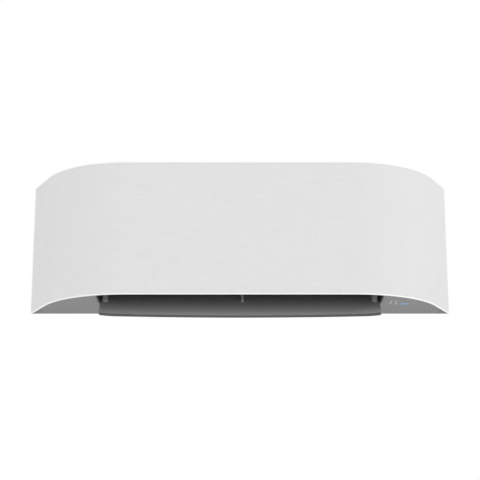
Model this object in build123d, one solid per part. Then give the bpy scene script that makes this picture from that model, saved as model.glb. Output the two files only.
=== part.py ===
from build123d import *
import math
import os

# A wall-mounted room air conditioner, indoor unit. Sizes are in millimetres and angles in degrees.
# X runs along the unit, to the right as seen from the room. The wall is the plane Y = 0 and the room
# is on its -Y side. Z is up. The origin lies on the wall face of the wall plate, in the middle of its
# screw pattern, at half the height of the unit. In the code a place across the unit is a pair
# (depth, up): the depth from the wall into the room, and the height above the unit's lower edge.

# ---- clearances and walls that several pieces share ----
running_gap = 0.05
sliding_gap = 0.3
wall_gap = 1.0
moulded_wall = 2.5
sheet_steel = 1.2
head_radius = 3.5
head_height = 2.2
screw_radius = 1.7
screw_length = 10.0
cut_over = 1.0

# ---- length of the unit, and how far its ends keep from the outlet ----
unit_width = 987.0
outlet_reach = 173.5
outlet_half = unit_width / 2 - outlet_reach
duct_half = outlet_half - 1.5
flap_half = outlet_half - 3.5
fan_half = outlet_half - 8.0
coil_half = outlet_half - 1.0

# ---- cross-flow fan ----
fan_radius = 47.5
fan_depth = 88.0
fan_up = 108.0
fan_segments = 5
fan_blades = 32
blade_inner_radius = 38.5
blade_tip_inset = 0.6
blade_thick = 1.1
blade_rake = 24.0
blade_bulge = 1.6
disc_thick = 2.0
fan_pin_radius = 4.0
fan_pin_length = 16.0
segment_stagger = 3.0
hub_radius = 10.0

# ---- scroll, tongue and outlet ----
scroll_gap = 8.0
scroll_start = 30.0
tongue_gap = 7.0
tongue_angle = 220.0
tongue_top_angle = 186.0
outlet_rear_depth = 91.0
outlet_rear_up = 6.0
outlet_front_up = 13.0
outlet_lip_up = 20.0
duct_end_share = 0.75

# ---- heat exchanger ----
coil_gap = 16.5
coil_thick = 26.0
row_pitch = 13.0
tube_pitch = 19.0
tube_radius = 3.5
front_rows = 6
upper_rows = 4
rear_rows = 4
coil_plate = 1.5
coil_plate_edge = 1.0
coil_foot_half = 6.5
fin_pitch = 8.0
fin_groove = 5.6
fin_groove_depth = 2.4
coil_bottom = 90.0
front_lean = 93.0
upper_lean = 133.0
rear_lean = 53.5
upper_start = (150.0, 214.0)
rear_start = (29.7, 207.0)
tube_stub = 4.0
header_x = outlet_half + 26.0
header_step = 10.0

# ---- air filters ----
filter_back_gap = 4.5
filter_thick = 3.5
filter_bottom = 100.0
filter_border = 7.0
filter_rib = 3.0
filter_mesh_thick = 0.8
filter_drop = 4.0
filter_columns = 4
filter_rows = 4
filter_tab = (34.0, 12.0)
filter_outer = outlet_half - 30.0
rail_web = 3.0
rail_flange = 2.0
rail_grip = 7.0
rail_depth = 8.5

# ---- body behind the panel ----
body_gap = 10.0
frame_wall = 2.5
grille_gap = 11.5
grille_thick = 3.0
body_drop = 15.0
grille_half = outlet_half - 14.0
slot_width = 6.0
slot_pitch = 10.5
slot_columns = 6
slot_bar = 8.0
grille_front_margin = 12.0
grille_rear_margin = 16.0

# ---- front panel ----
corner_radius = 216.4
side_angle = 63.6
panel_wall = 3.0
cover_thick = 1.0
cover_rim = 3.2
rib_thick = 2.0
rib_depth = 2.0
rib_ups = (12.0, 16.0)
rib_end_depth = 6.0
hinge_drop = 6.5
hinge_clearance = 8.0
hinge_x = outlet_half - 20.0
hinge_pin_radius = 2.5
lug_width = 8.0
lug_radius = 5.3
ear_width = 4.0
ear_front = 3.3
ear_root = 22.0
hinge_side_gap = 1.5
catch_x = outlet_half - 120.0
catch_up = 32.0
catch_size = (10.0, 4.0)
catch_reach = 16.0
catch_clearance = 3.0

# ---- underside ----
trim_thick = 2.5
trim_recess = 0.3
trim_gap = 0.6

# ---- flap ----
flap_pivot_depth = 122.0
flap_pivot_up = 28.0
flap_rest = 40.0
flap_tip_gap = 4.0
flap_rear_gap = 4.0
flap_corner = 6.0
flap_bow_radius = 5400.0
flap_end_run = 40.0
flap_end_radius = 170.0
flap_margin = 14.0
flap_edge = 4.0
flap_lower_up = 2.0
flap_belly = 1.5
flap_crown = 3.0
flap_skin = 2.0
arm_width = 11.0
arm_inset = 5.5
arm_foot = (140.0, 106.0)
arm_boss = 7.0
flap_pin_radius = 3.0
centre_arm_x = 3.0
centre_arm_width = 5.0
centre_rib_width = 5.0
centre_gap = 1.0

# ---- vertical vanes ----
vanes_per_bank = 5
vane_first_x = 40.0
vane_last_x = outlet_half - 72.0
vane_pitch = (vane_last_x - vane_first_x) / (vanes_per_bank - 1)
vane_from_tongue = 22.0
vane_upstream = 16.0
vane_downstream = 26.0
vane_reach = 30.0
vane_slant = (3.0, 6.0)
vane_lift = 0.4
vane_collar = 1.6
vane_thick = 1.6
vane_pin_radius = 2.0
link_arm = 12.0
link_pin_radius = 1.5
link_size = (6.0, 2.0)
link_gap = 0.5

# ---- drain pan ----
pan_floor = 82.0
pan_wall = 2.0
pan_top = 94.0
pan_front_gap = 1.0
pan_rear_depth = 145.0
pan_half = outlet_half + 38.0
spigot_x = pan_half - 10.0
spigot_depth = 153.0
spigot_radius = 6.4
spigot_bore = 5.0
spigot_length = 12.0
plug_cap = 4.0

# ---- rear casing ----
casing_gap = 3.0
trough_up = 194.0
trough_depth = 48.5
trough_lip = 8.0
bay_width = 2.5
saddle = (outlet_half + 12.0, outlet_half + 46.0)
saddle_height = 96.0
saddle_depth = 60.0
casing_bottom = 4.0
carrier_height = 20.0
clamp_x = 180.0
clamp_width = 10.0
clamp_room = 15.0
clamp_ups = (8.0, 51.9)
clamp_wall = 4.8
channel_windows = (
    (20.0 - outlet_half, clamp_x - clamp_room),
    (clamp_x + clamp_width + clamp_room, outlet_half + 6.0),
)
channel_ups = (12.0, 56.0)

# ---- pipes ----
gas_radius = 4.76
liquid_radius = 3.18
pipe_drop_x = outlet_half + 64.0
gas_line = (40.0, 40.0)
liquid_line = (24.0, 20.0)
pipe_wall = 1.0
pipe_bend = 14.0
header_bend = 8.0
gas_end_x = -60.0
liquid_end_x = -130.0
gas_thread_radius = 7.94
liquid_thread_radius = 5.56
gas_thread_length = 14.0
liquid_thread_length = 12.0
gas_hex = 22.0
liquid_hex = 17.0
hex_length = 12.0
hose_radius = 8.0
hose_bend = 22.0
hose_line = (62.0, 20.0)
hose_end_x = 60.0
hose_fit = 0.1
hose_cuff_radius = 9.0
hose_cuff_length = 24.0

# ---- fan motor and bearing ----
motor_radius = 42.0
motor_start = outlet_half + 8.0
motor_length = 42.0
motor_nose_radius = 13.7
motor_nose = 6.0
motor_clamp_thick = 2.0
motor_clamp_width = 18.0
bearing_radius = 14.0
bearing_length = 12.0
bearing_gap = 4.8

# ---- small motors ----
stepper_radius = 12.0
stepper_length = 12.0
stepper_flange = 1.5
stepper_ear = 17.0
shaft_socket = 6.0

# ---- control box ----
box_start_x = outlet_half + 70.0
box_gap = 3.5
box_front = 95.0
box_bottom = 30.0
box_top = 285.0
box_wall = 2.0
lid_thick = 2.0
board_thick = 1.6
board_margin = 6.0
terminal_size = (22.0, 16.0, 46.0)
terminal_ways = 4
notch_depth = 6.4
notch_half = 7.4
notch_bar = 3.8
component_cans = ((9.0, 32.0), (6.0, 20.0), (6.0, 20.0), (5.0, 14.0))
component_blocks = ((12.0, 16.0, 22.0), (10.0, 20.0, 18.0), (8.0, 26.0, 30.0))
component_pitch = 24.0
block_pitch = 33.6
component_shift = 5.0

# ---- display, test button, sensors ----
board_x = (outlet_half + 16.0, outlet_half + 72.0)
board_depth = (86.0, 138.0)
board_up = 8.0
lamp_radius = 1.6
lamp_steps = ((21.5, 110.5), (21.9, 131.5), (34.3, 110.5), (33.2, 131.5))
lamp_places = [(outlet_half + step, depth) for step, depth in lamp_steps]
power_lamp_x = (outlet_half + 48.0, outlet_half + 61.0)
power_lamp_depth = 109.0
power_lamp_radius = 4.6
lens_gap = 0.1
button_x = outlet_half - 80.0
button_up = 72.0
button_radius = 4.0
button_proud = 1.5
button_travel = 1.5
button_flange = 6.0
button_tail = 6.5
switch_size = (22.0, 3.0, 18.0)
switch_post = 4.0
sensor_radius = 2.5
sensor_length = 16.0
room_sensor_length = 10.0

# ---- wall plate ----
plate_half = outlet_half - 90.0
plate_bottom = 58.0
plate_top = 276.0
screw_spacing = (300.0, 120.0)
screw_hole_radius = 2.75
hook_x = plate_half - 40.0
hook_up = 250.0
hook_width = 30.0
hook_rise = 12.0
hook_reach = 8.0
hook_clearance = 3.0
hook_drop = 6.0
window_x = (40.0, 120.0)
window_up = (68.0, 128.0)

# ---- worked out from the sizes above ----
turn = math.radians(side_angle)
coil_front_depth = fan_depth + fan_radius + coil_gap + coil_thick
filter_rear_depth = coil_front_depth + filter_back_gap
filter_front_depth = filter_rear_depth + filter_thick
frame_depth = filter_front_depth + rail_depth + frame_wall
unit_depth = frame_depth + body_gap + panel_wall
body_inset = panel_wall + body_gap
inner_inset = body_inset + frame_wall


def direction(angle):
    """The unit vector at an angle across the unit, from the room's direction towards up."""
    return math.cos(math.radians(angle)), math.sin(math.radians(angle))


def along(start, angle, distance, side=0.0):
    """The point at a distance along an angle from start, and at a distance to its room side."""
    d, u = direction(angle)
    return start[0] + d * distance + u * side, start[1] + u * distance - d * side


front_length = front_rows * tube_pitch
upper_length = upper_rows * tube_pitch
rear_length = rear_rows * tube_pitch
front_start = (coil_front_depth - coil_thick / 2, coil_bottom)
coil_apex = along(upper_start, upper_lean, upper_length, coil_thick / 2)[1]
grille_up = coil_apex + grille_gap
body_top = grille_up + grille_thick
unit_height = round(body_top + body_drop, 1)
hinge_up = unit_height - hinge_drop
duct_front_depth = frame_depth - frame_wall - wall_gap
scroll_radius = fan_radius + scroll_gap
tongue_radius = fan_radius + tongue_gap
filter_top = body_top - wall_gap
casing_face = casing_gap + moulded_wall
motor_end = motor_start + motor_length
trim_top = trim_recess + trim_thick


# ---- building blocks ----
def level(up):
    """Z of a height above the lower edge."""
    return up - unit_height / 2


def spot(x, place):
    """The point at x whose depth and height are given."""
    return x, -place[0], level(place[1])


def prism(outline, x0, x1):
    """A straight bar from x0 to x1 whose cross-section is the outline of (depth, up) pairs."""
    edge = Polyline(*[spot(x0, place) for place in outline], close=True)
    return extrude(make_face(edge), amount=x1 - x0, dir=(1, 0, 0))


def bar(edges, x0, x1):
    """A straight bar whose cross-section is bounded by edges drawn at x = 0."""
    return Pos(x0, 0, 0) * extrude(make_face(edges), amount=x1 - x0, dir=(1, 0, 0))


def block(x_span, depth_span, up_span):
    """A box between two values of x, depth and height, given in either order."""
    size = [abs(span[1] - span[0]) for span in (x_span, depth_span, up_span)]
    middle = [sum(span) / 2 for span in (x_span, depth_span, up_span)]
    return Pos(middle[0], -middle[1], level(middle[2])) * Box(*size)


def rod(x0, x1, place, radius):
    """A round bar along X."""
    middle = Location(spot((x0 + x1) / 2, place), (0, 90, 0))
    return middle * Cylinder(radius, x1 - x0)


def post(x, depth, up_span, radius):
    """An upright round bar."""
    middle = Pos(x, -depth, level(sum(up_span) / 2))
    return middle * Cylinder(radius, abs(up_span[1] - up_span[0]))


def stud(x, up, depth_span, radius):
    """A round bar that points into the room."""
    middle = Location((x, -sum(depth_span) / 2, level(up)), (90, 0, 0))
    return middle * Cylinder(radius, abs(depth_span[1] - depth_span[0]))


def polar(radius, angle):
    """The (depth, up) point round the fan's axis, the angle rising from the wall's direction."""
    d, u = direction(angle)
    return fan_depth - radius * d, fan_up + radius * u


def ring_sector(inner, outer, start, end, x0, x1):
    """A curved wall round the fan's axis between two radii and two angles."""
    middle = (start + end) / 2
    edges = [
        ThreePointArc(*[spot(0, polar(inner, a)) for a in (start, middle, end)]),
        Line(spot(0, polar(inner, end)), spot(0, polar(outer, end))),
        ThreePointArc(*[spot(0, polar(outer, a)) for a in (end, middle, start)]),
        Line(spot(0, polar(outer, start)), spot(0, polar(inner, start))),
    ]
    return bar(edges, x0, x1)


def plan_half_width(inset, rear):
    """Half the width of the panel's outline, drawn in by inset, at a depth rear from the wall."""
    bend_depth = (corner_radius - inset) * (1 - math.cos(turn))
    run = (unit_depth - inset - bend_depth - rear) / math.sin(turn)
    return flat_half() + (corner_radius - inset) * math.sin(turn) + run * math.cos(turn)


def flat_half():
    """Half the length of the panel's flat front."""
    run = (unit_depth - corner_radius * (1 - math.cos(turn))) / math.sin(turn)
    return unit_width / 2 - corner_radius * math.sin(turn) - run * math.cos(turn)


def plan_prism(inset, rear, up_span):
    """The panel's outline seen from above, drawn in by inset and closed at a depth rear."""
    radius = corner_radius - inset
    flat = flat_half()
    wide = plan_half_width(inset, rear)

    def corner(side, share):
        angle = turn * share
        return (
            side * (flat + radius * math.sin(angle)),
            inset - unit_depth + radius * (1 - math.cos(angle)),
        )

    edges = [
        Line((-wide, -rear), corner(-1, 1)),
        ThreePointArc(corner(-1, 1), corner(-1, 0.5), corner(-1, 0)),
        Line(corner(-1, 0), corner(1, 0)),
        ThreePointArc(corner(1, 0), corner(1, 0.5), corner(1, 1)),
        Line(corner(1, 1), (wide, -rear)),
        Line((wide, -rear), (-wide, -rear)),
    ]
    face = make_face(edges)
    return Pos(0, 0, level(up_span[0])) * extrude(face, amount=up_span[1] - up_span[0])


def tube(path, radius):
    """A round bar along a path."""
    return sweep(Plane(origin=path @ 0, z_dir=path % 0) * Circle(radius), path=path)


def mirrored(shape):
    """The same shape at the other end of the unit."""
    return mirror(shape, about=Plane.YZ)


def both_ends(shape):
    """The shape and its twin at the other end."""
    return [shape, mirrored(shape)]


def one_of(*shapes):
    """The shapes joined into one solid."""
    flat = [s for shape in shapes for s in (shape if isinstance(shape, list) else [shape])]
    return Part() + flat


def save(name, *shapes):
    """Writes the solids of the shapes as one node."""
    flat = [s for shape in shapes for s in (shape if isinstance(shape, list) else [shape])]
    solids = [solid for shape in flat for solid in shape.solids()]
    whole = solids[0] if len(solids) == 1 else Compound(solids)
    export_step(whole, f"parts/{name}.step")


def outline_depth(inset, x):
    """The depth of the panel's outline, drawn in by inset, at x on its front or its corner."""
    radius = corner_radius - inset
    run = max(0.0, x - flat_half())
    return unit_depth - inset - radius + math.sqrt(radius**2 - run**2)


ear_x = (
    hinge_x + lug_width / 2 + hinge_side_gap,
    hinge_x + lug_width / 2 + hinge_side_gap + ear_width,
)
hinge_depth = round(outline_depth(panel_wall, ear_x[1]) - hinge_clearance, 1)
ear_depths = (outline_depth(body_inset + frame_wall / 2, ear_x[1]), hinge_depth + ear_front)


# ---- front panel and its cover ----
def cover_zone():
    """The skin of the panel inside its rim, which the woven cover fills."""
    span = (cover_rim, unit_height - cover_rim)
    rear = wall_gap + cover_rim
    return plan_prism(0, rear, span) - plan_prism(cover_thick, -panel_wall, span)


def panel_lug():
    """The right hinge lug: an arm from the panel's inner face to the pin, and the pin."""
    x0, x1 = hinge_x - lug_width / 2, hinge_x + lug_width / 2
    axis = (hinge_depth, hinge_up)
    ups = (hinge_up - lug_radius, hinge_up + lug_radius)
    arm = block((x0, x1), (hinge_depth, unit_depth), ups)
    pin = rod(x1, ear_x[1], axis, hinge_pin_radius)
    inside = plan_prism(panel_wall / 2, 0, (0, unit_height))
    return one_of((arm + rod(x0, x1, axis, lug_radius)) & inside, pin)


def panel_catch(x):
    """A tongue low on the panel's inner face, which enters the front frame."""
    half = catch_size[0] / 2
    ups = (catch_up - catch_size[1] / 2, catch_up + catch_size[1] / 2)
    inner = unit_depth - panel_wall
    return block((x - half, x + half), (inner - catch_reach, inner + panel_wall / 2), ups)


def panel_ribs():
    """Two long ribs that stiffen the panel's inner face."""
    ups = (rib_ups[0], unit_height - rib_ups[1])
    rib = plan_prism(panel_wall / 2, 1, (0, rib_thick)) - plan_prism(
        panel_wall + rib_depth, -panel_wall, (0, rib_thick)
    )
    rear = block((-unit_width, unit_width), (-panel_wall, rib_end_depth), (0, unit_height))
    return [Pos(0, 0, up) * rib - rear for up in ups]


def front_panel():
    span = (0, unit_height)
    shell = plan_prism(0, wall_gap, span) - plan_prism(panel_wall, -panel_wall, span)
    catches = [panel_catch(x) for x in (-catch_x, catch_x)]
    return one_of(shell - cover_zone(), panel_ribs(), catches, both_ends(panel_lug()))


# ---- front frame, grille and underside ----
def hinge_ear():
    """The ear of the front frame that holds the right hinge pin, solid for now."""
    ups = (body_top - ear_root, hinge_up + hinge_pin_radius + panel_wall / 2)
    return block(ear_x, ear_depths, ups)


def hinge_hole():
    place = (hinge_depth, hinge_up)
    return rod(ear_x[0] - cut_over, ear_x[1] + cut_over, place, hinge_pin_radius + running_gap)


def filter_rail(x0, x1, flange_x0, flange_x1):
    """An upright channel: a web between x0 and x1, and two flanges that hold the filter's edge."""
    ups = (filter_bottom - rail_flange, grille_up)
    rear = (filter_rear_depth - sliding_gap - rail_flange, filter_rear_depth - sliding_gap)
    front = (filter_front_depth + sliding_gap, filter_front_depth + sliding_gap + rail_flange)
    ledge = (filter_bottom - rail_flange, filter_bottom - sliding_gap)
    return [
        block((x0, x1), (rear[0], frame_depth), ups),
        block((flange_x0, flange_x1), rear, ups),
        block((flange_x0, flange_x1), front, ups),
        block((flange_x0, flange_x1), (rear[0], front[1]), ledge),
    ]


def filter_rails():
    """The upright channels of both filters, and the flange over the frame's top edge."""
    grip = rail_web + rail_grip
    end0 = filter_outer + sliding_gap
    end_rail = filter_rail(end0, end0 + rail_web, filter_outer - rail_grip, end0 + rail_web)
    centre = filter_rail(-rail_web, rail_web, -grip, grip)
    reach = filter_outer + sliding_gap + rail_web
    flange = block(
        (-reach, reach), (filter_front_depth + sliding_gap, unit_depth), (grille_up, body_top)
    )
    limit = plan_prism(body_inset + frame_wall, 0, (0, body_top))
    ends = [twin for piece in end_rail for twin in both_ends(piece)]
    return one_of(flange, centre, ends) & limit


def front_frame():
    span = (trim_top, body_top)
    shell = plan_prism(body_inset, wall_gap, span) - plan_prism(inner_inset, -wall_gap, span)
    half = filter_outer - rail_grip
    room = (pan_rear_depth, unit_depth)
    window = block((-half, half), room, (filter_bottom, filter_top - ear_root))
    outlet = block((-outlet_half - wall_gap, outlet_half + wall_gap), room, (0, outlet_lip_up))
    middle = rail_web + rail_grip
    centre_bar = block(
        (-middle, middle), (frame_depth - frame_wall, frame_depth), (outlet_lip_up, body_top)
    )
    frame = one_of(shell - window - outlet, centre_bar, both_ends(hinge_ear()))
    slot = [size / 2 + catch_clearance for size in catch_size]
    for x in (-catch_x, catch_x):
        ups = (catch_up - slot[1], catch_up + slot[1])
        frame -= block((x - slot[0], x + slot[0]), (frame_depth - frame_wall * 2, unit_depth), ups)
    for hole in both_ends(hinge_hole()):
        frame -= hole
    frame = one_of(frame, switch_posts())
    bore = (frame_depth - frame_wall * 2, unit_depth)
    return frame - stud(button_x, button_up, bore, button_radius + running_gap)


def grille_slots():
    """The openings of the intake grille: rows of long slots, front to back."""
    first = casing_face + grille_rear_margin
    last = filter_rear_depth - grille_front_margin
    count = int((last - first) // slot_pitch)
    length = 2 * grille_half / slot_columns - slot_bar
    ups = (grille_up - cut_over, body_top + cut_over)
    slots = []
    for row in range(count):
        depth = first + row * slot_pitch
        for column in range(slot_columns):
            middle = -grille_half + (column + 0.5) * 2 * grille_half / slot_columns
            ends = (middle - length / 2, middle + length / 2)
            slots.append(block(ends, (depth, depth + slot_width), ups))
    return slots


def top_grille():
    span = (grille_up, body_top)
    plate = plan_prism(inner_inset + sliding_gap, casing_gap, span)
    half = filter_outer + sliding_gap + rail_web + wall_gap
    ups = (grille_up - cut_over, body_top + cut_over)
    mouth = block((-half, half), (filter_rear_depth - wall_gap, unit_depth), ups)
    notch = block(
        (ear_x[0] - wall_gap, ear_x[1] + wall_gap),
        (ear_depths[0] - wall_gap, unit_depth),
        ups,
    )
    return plate - grille_slots() - mouth - notch - mirrored(notch)


def trim_base():
    """The right base trim before its lamp holes."""
    span = (trim_recess, trim_top)
    plate = plan_prism(panel_wall + trim_gap, wall_gap, span)
    return plate & block((outlet_half, unit_width), (0, unit_depth), span)


def lamp_hole(x0, x1, depth, radius, up_span):
    """An upright round or long round bar, for a lens or for its hole."""
    shape = post(x0, depth, up_span, radius)
    if x1 > x0:
        middle = block((x0, x1), (depth - radius, depth + radius), up_span)
        shape = one_of(shape, middle, post(x1, depth, up_span, radius))
    return shape


def base_trim_right():
    trim = trim_base()
    span = (0, unit_height)
    for x, depth in lamp_places:
        trim -= lamp_hole(x, x, depth, lamp_radius + lens_gap, span)
    long_radius = power_lamp_radius + lens_gap
    return trim - lamp_hole(*power_lamp_x, power_lamp_depth, long_radius, span)


def base_rear_cover():
    span = (trim_recess, trim_top)
    half = outlet_half - sliding_gap
    return block((-half, half), (wall_gap, outlet_rear_depth - wall_gap), span)


# ---- outlet duct ----
tongue = polar(tongue_radius, tongue_angle)
front_edge = (duct_front_depth, outlet_front_up)
duct_run = (front_edge[0] - tongue[0], front_edge[1] - tongue[1])
duct_angle = math.degrees(math.atan2(duct_run[1], duct_run[0]))
duct_length = math.hypot(*duct_run)


def on_duct(run, drop):
    """The point run along the duct's upper wall from the tongue, and drop into the duct."""
    return along(tongue, duct_angle, run, drop)


def duct_web(x0, x1):
    """A web over the duct's upper wall, up to the floor of the drain pan."""
    outline = [
        on_duct(0, -moulded_wall / 2),
        on_duct(duct_length, -moulded_wall / 2),
        (duct_front_depth, pan_floor),
        (pan_rear_depth, pan_floor),
    ]
    return prism(outline, x0, x1)


def duct_end():
    """The right end wall of the duct."""
    outline = [
        tongue,
        front_edge,
        (front_edge[0], trim_top),
        (outlet_rear_depth + wall_gap, trim_top),
        rear_wall_point(0, wall_gap),
        rear_wall_point(duct_end_share, wall_gap),
    ]
    return prism(outline, duct_half, duct_half + moulded_wall)


def centre_rib():
    """The rib in the middle of the duct that carries the flap's centre pin."""
    x1 = centre_arm_x - centre_gap
    x0 = x1 - centre_rib_width
    pivot = (flap_pivot_depth, flap_pivot_up)
    web = prism(
        [
            on_duct(0, 0),
            on_duct(vane_from_tongue * 2, 0),
            (pivot[0] + arm_boss, pivot[1]),
            (pivot[0] - arm_boss, pivot[1]),
        ],
        x0,
        x1,
    )
    return one_of(web, rod(x0, x1, pivot, arm_boss))


def outlet_duct():
    x0, x1 = -duct_half - moulded_wall, duct_half + moulded_wall
    outer = tongue_radius + moulded_wall
    nose = ring_sector(tongue_radius, outer, tongue_top_angle, tongue_angle, x0, x1)
    wall = prism(
        [
            on_duct(0, 0),
            on_duct(duct_length, 0),
            on_duct(duct_length, -moulded_wall),
            on_duct(0, -moulded_wall),
        ],
        x0,
        x1,
    )
    middle = (flap_half + vane_first_x) / 2
    webs = [duct_web(x - moulded_wall / 2, x + moulded_wall / 2) for x in (-middle, 0, middle)]
    end_webs = both_ends(duct_web(duct_half, x1))
    duct = one_of(nose, wall, webs, end_webs, both_ends(duct_end()), centre_rib())
    pivot = (flap_pivot_depth, flap_pivot_up)
    duct -= rod(x0 - cut_over, x1 + cut_over, pivot, flap_pin_radius + running_gap)
    for x in vane_places():
        hole = (-moulded_wall * 2, moulded_wall)
        duct -= drop_bar(x, vane_from_tongue, hole, vane_pin_radius + running_gap)
    return duct & plan_prism(inner_inset + wall_gap, 0, (0, unit_height))


# ---- rear casing ----
outlet_rear = (outlet_rear_depth, outlet_rear_up)
rear_reach = math.hypot(outlet_rear[0] - fan_depth, outlet_rear[1] - fan_up)
rear_bearing = math.degrees(math.atan2(outlet_rear[1] - fan_up, fan_depth - outlet_rear[0]))
scroll_end = rear_bearing + math.degrees(math.acos(scroll_radius / rear_reach))


def rear_wall_point(share, inside=0.0):
    """A point on the duct's rear wall, from the outlet's edge to the scroll, moved into the duct."""
    top = polar(scroll_radius, scroll_end)
    n = direction(scroll_end)
    return (
        outlet_rear[0] + (top[0] - outlet_rear[0]) * share + n[0] * inside,
        outlet_rear[1] + (top[1] - outlet_rear[1]) * share - n[1] * inside,
    )


def scroll_wall(x0, x1):
    """The wall behind the fan: down from the trough, round the fan and on to the outlet."""
    outer = scroll_radius + moulded_wall
    curve = ring_sector(scroll_radius, outer, scroll_end, scroll_start, x0, x1)
    start = polar(scroll_radius, scroll_start)
    outline = [
        rear_wall_point(0),
        rear_wall_point(1),
        rear_wall_point(1, -moulded_wall),
        rear_wall_point(0, -moulded_wall),
    ]
    rise = block((x0, x1), (start[0] - moulded_wall, start[0]), (start[1], trough_up))
    return [curve, prism(outline, x0, x1), rise]


def bay_plate():
    """The right end plate of the fan bay, tied back to the casing's back wall."""
    x0 = duct_half + moulded_wall
    outer = scroll_radius + moulded_wall
    disc = rod(x0, x0 + bay_width, (fan_depth, fan_up), outer)
    ups = (fan_up - carrier_height / 2, fan_up + carrier_height / 2)
    return one_of(disc, block((x0, x0 + bay_width), (casing_gap, fan_depth), ups))


def motor_saddle():
    """The cradle behind the fan motor."""
    ups = (fan_up - saddle_height / 2, fan_up + saddle_height / 2)
    base = block(saddle, (casing_gap, saddle_depth), ups)
    x0, x1 = saddle[0] - cut_over, saddle[1] + cut_over
    base -= rod(x0, x1, (fan_depth, fan_up), motor_radius + sliding_gap)
    for place in clamp_screws():
        base -= screw_hole(*place)
    return base


def hook_opening(x):
    """The opening in the back wall that a hook of the wall plate enters."""
    half = hook_width / 2 + hook_clearance
    ups = (hook_up - hook_drop, hook_up + hook_rise + hook_clearance)
    return block((x - half, x + half), (0, casing_face + cut_over), ups)


def rear_casing():
    half = plan_half_width(inner_inset, casing_face) - sliding_gap
    back = block((-half, half), (casing_gap, casing_face), (casing_bottom, grille_up))
    x0, x1 = -duct_half - moulded_wall - bay_width, duct_half + moulded_wall + bay_width
    floor = (trough_up, trough_up + moulded_wall)
    trough = block((x0, x1), (casing_gap, trough_depth), floor)
    lip_depths = (trough_depth - moulded_wall, trough_depth)
    lip = block((x0, x1), lip_depths, (floor[0], floor[1] + trough_lip))
    casing = one_of(
        back, scroll_wall(x0, x1), trough, lip, both_ends(bay_plate()), motor_saddle()
    )
    for x in (-hook_x, hook_x):
        casing -= hook_opening(x)
    for window in channel_windows:
        casing -= block(window, (0, casing_face + cut_over), channel_ups)
    centre = (fan_depth, fan_up)
    casing -= rod(x0 - cut_over, -duct_half, centre, bearing_radius + running_gap)
    return casing - rod(duct_half, x1 + cut_over, centre, motor_nose_radius + sliding_gap)


# ---- wall plate ----
def wall_hook(x):
    """A hook bent out of the wall plate: a tab into the room and a lip that turns up."""
    half = hook_width / 2
    tab_up = (hook_up - sheet_steel, hook_up)
    tab = block((x - half, x + half), (0, hook_reach + sheet_steel), tab_up)
    lip = (hook_reach, hook_reach + sheet_steel)
    return [tab, block((x - half, x + half), lip, (tab_up[0], hook_up + hook_rise))]


def wall_plate():
    half = (-plate_half, plate_half)
    plate = block(half, (0, sheet_steel), (plate_bottom, plate_top))
    for side in (-1, 1):
        window = (side * window_x[0], side * window_x[1])
        plate -= block(window, (-cut_over, sheet_steel + cut_over), window_up)
        for up in (-1, 1):
            x, height = side * screw_spacing[0] / 2, unit_height / 2 + up * screw_spacing[1] / 2
            plate -= stud(x, height, (-cut_over, sheet_steel + cut_over), screw_hole_radius)
    foot = block(half, (0, casing_gap), (plate_bottom, plate_bottom + sheet_steel))
    return one_of(plate, foot, wall_hook(-hook_x), wall_hook(hook_x))


# ---- drain pan, hose and plug ----
def drain_pan():
    half = (-pan_half, pan_half)
    inner = (-pan_half + pan_wall, pan_half - pan_wall)
    span = (pan_floor, pan_top)
    front_inset = inner_inset + pan_front_gap
    front = coil_front_depth + filter_back_gap + pan_wall
    outside = block(half, (pan_rear_depth, front), span) & plan_prism(front_inset, 0, span)
    above = (pan_floor + pan_wall, pan_top + cut_over)
    rear = pan_rear_depth + pan_wall
    hollow = block(inner, (rear, front - pan_wall), above) & plan_prism(
        front_inset + pan_wall, 0, above
    )
    pan = outside - hollow
    for x in (-spigot_x, spigot_x):
        pan += post(x, spigot_depth, (pan_floor - spigot_length, pan_floor), spigot_radius)
        ups = (pan_floor - spigot_length - cut_over, pan_floor + pan_wall + cut_over)
        pan -= post(x, spigot_depth, ups, spigot_bore)
    return pan


def drain_hose():
    top = pan_floor - wall_gap / 2
    path = FilletPolyline(
        (spigot_x, -spigot_depth, level(top)),
        (spigot_x, -spigot_depth, level(hose_line[1])),
        spot(spigot_x, hose_line),
        spot(hose_end_x, hose_line),
        radius=hose_bend,
    )
    cuff = rod(hose_end_x, hose_end_x + hose_cuff_length, hose_line, hose_cuff_radius)
    return one_of(tube(path, hose_radius), cuff) - tube(path, spigot_radius + hose_fit)


def drain_plug():
    """The rubber plug in the unused spigot: a stem in the bore and a cap under it."""
    low = pan_floor - spigot_length
    stem = post(-spigot_x, spigot_depth, (low, pan_floor), spigot_bore - running_gap)
    cap = post(-spigot_x, spigot_depth, (low - plug_cap, low), spigot_radius + pan_wall)
    return one_of(stem, cap)


# ---- heat exchanger ----
slabs = {
    "front": (front_start, front_lean, front_length, 1),
    "upper": (upper_start, upper_lean, upper_length, 1),
    "rear": (rear_start, rear_lean, rear_length, -1),
}
tube_end = coil_half + coil_plate + tube_stub


def slab_point(name, distance, side):
    """A point of a fin block: a distance along it, and a distance towards its outer face."""
    start, lean, _, outward = slabs[name]
    return along(start, lean, distance, side * outward)


def tube_point(name, index, side):
    """The place of one tube: its index along the block and its row, 1 outer and -1 inner."""
    return slab_point(name, (index + 0.5) * tube_pitch, side * row_pitch / 2)


def tube_count(name):
    return round(slabs[name][2] / tube_pitch)


def tube_points(name):
    return [tube_point(name, i, side) for i in range(tube_count(name)) for side in (1, -1)]


def slab_outline(name, margin=0.0):
    """The four corners of a fin block, moved out by a margin."""
    length, half = slabs[name][2] + margin, coil_thick / 2 + margin
    ends = [(-margin, half), (length, half), (length, -half), (-margin, -half)]
    return [slab_point(name, distance, side) for distance, side in ends]


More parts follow.
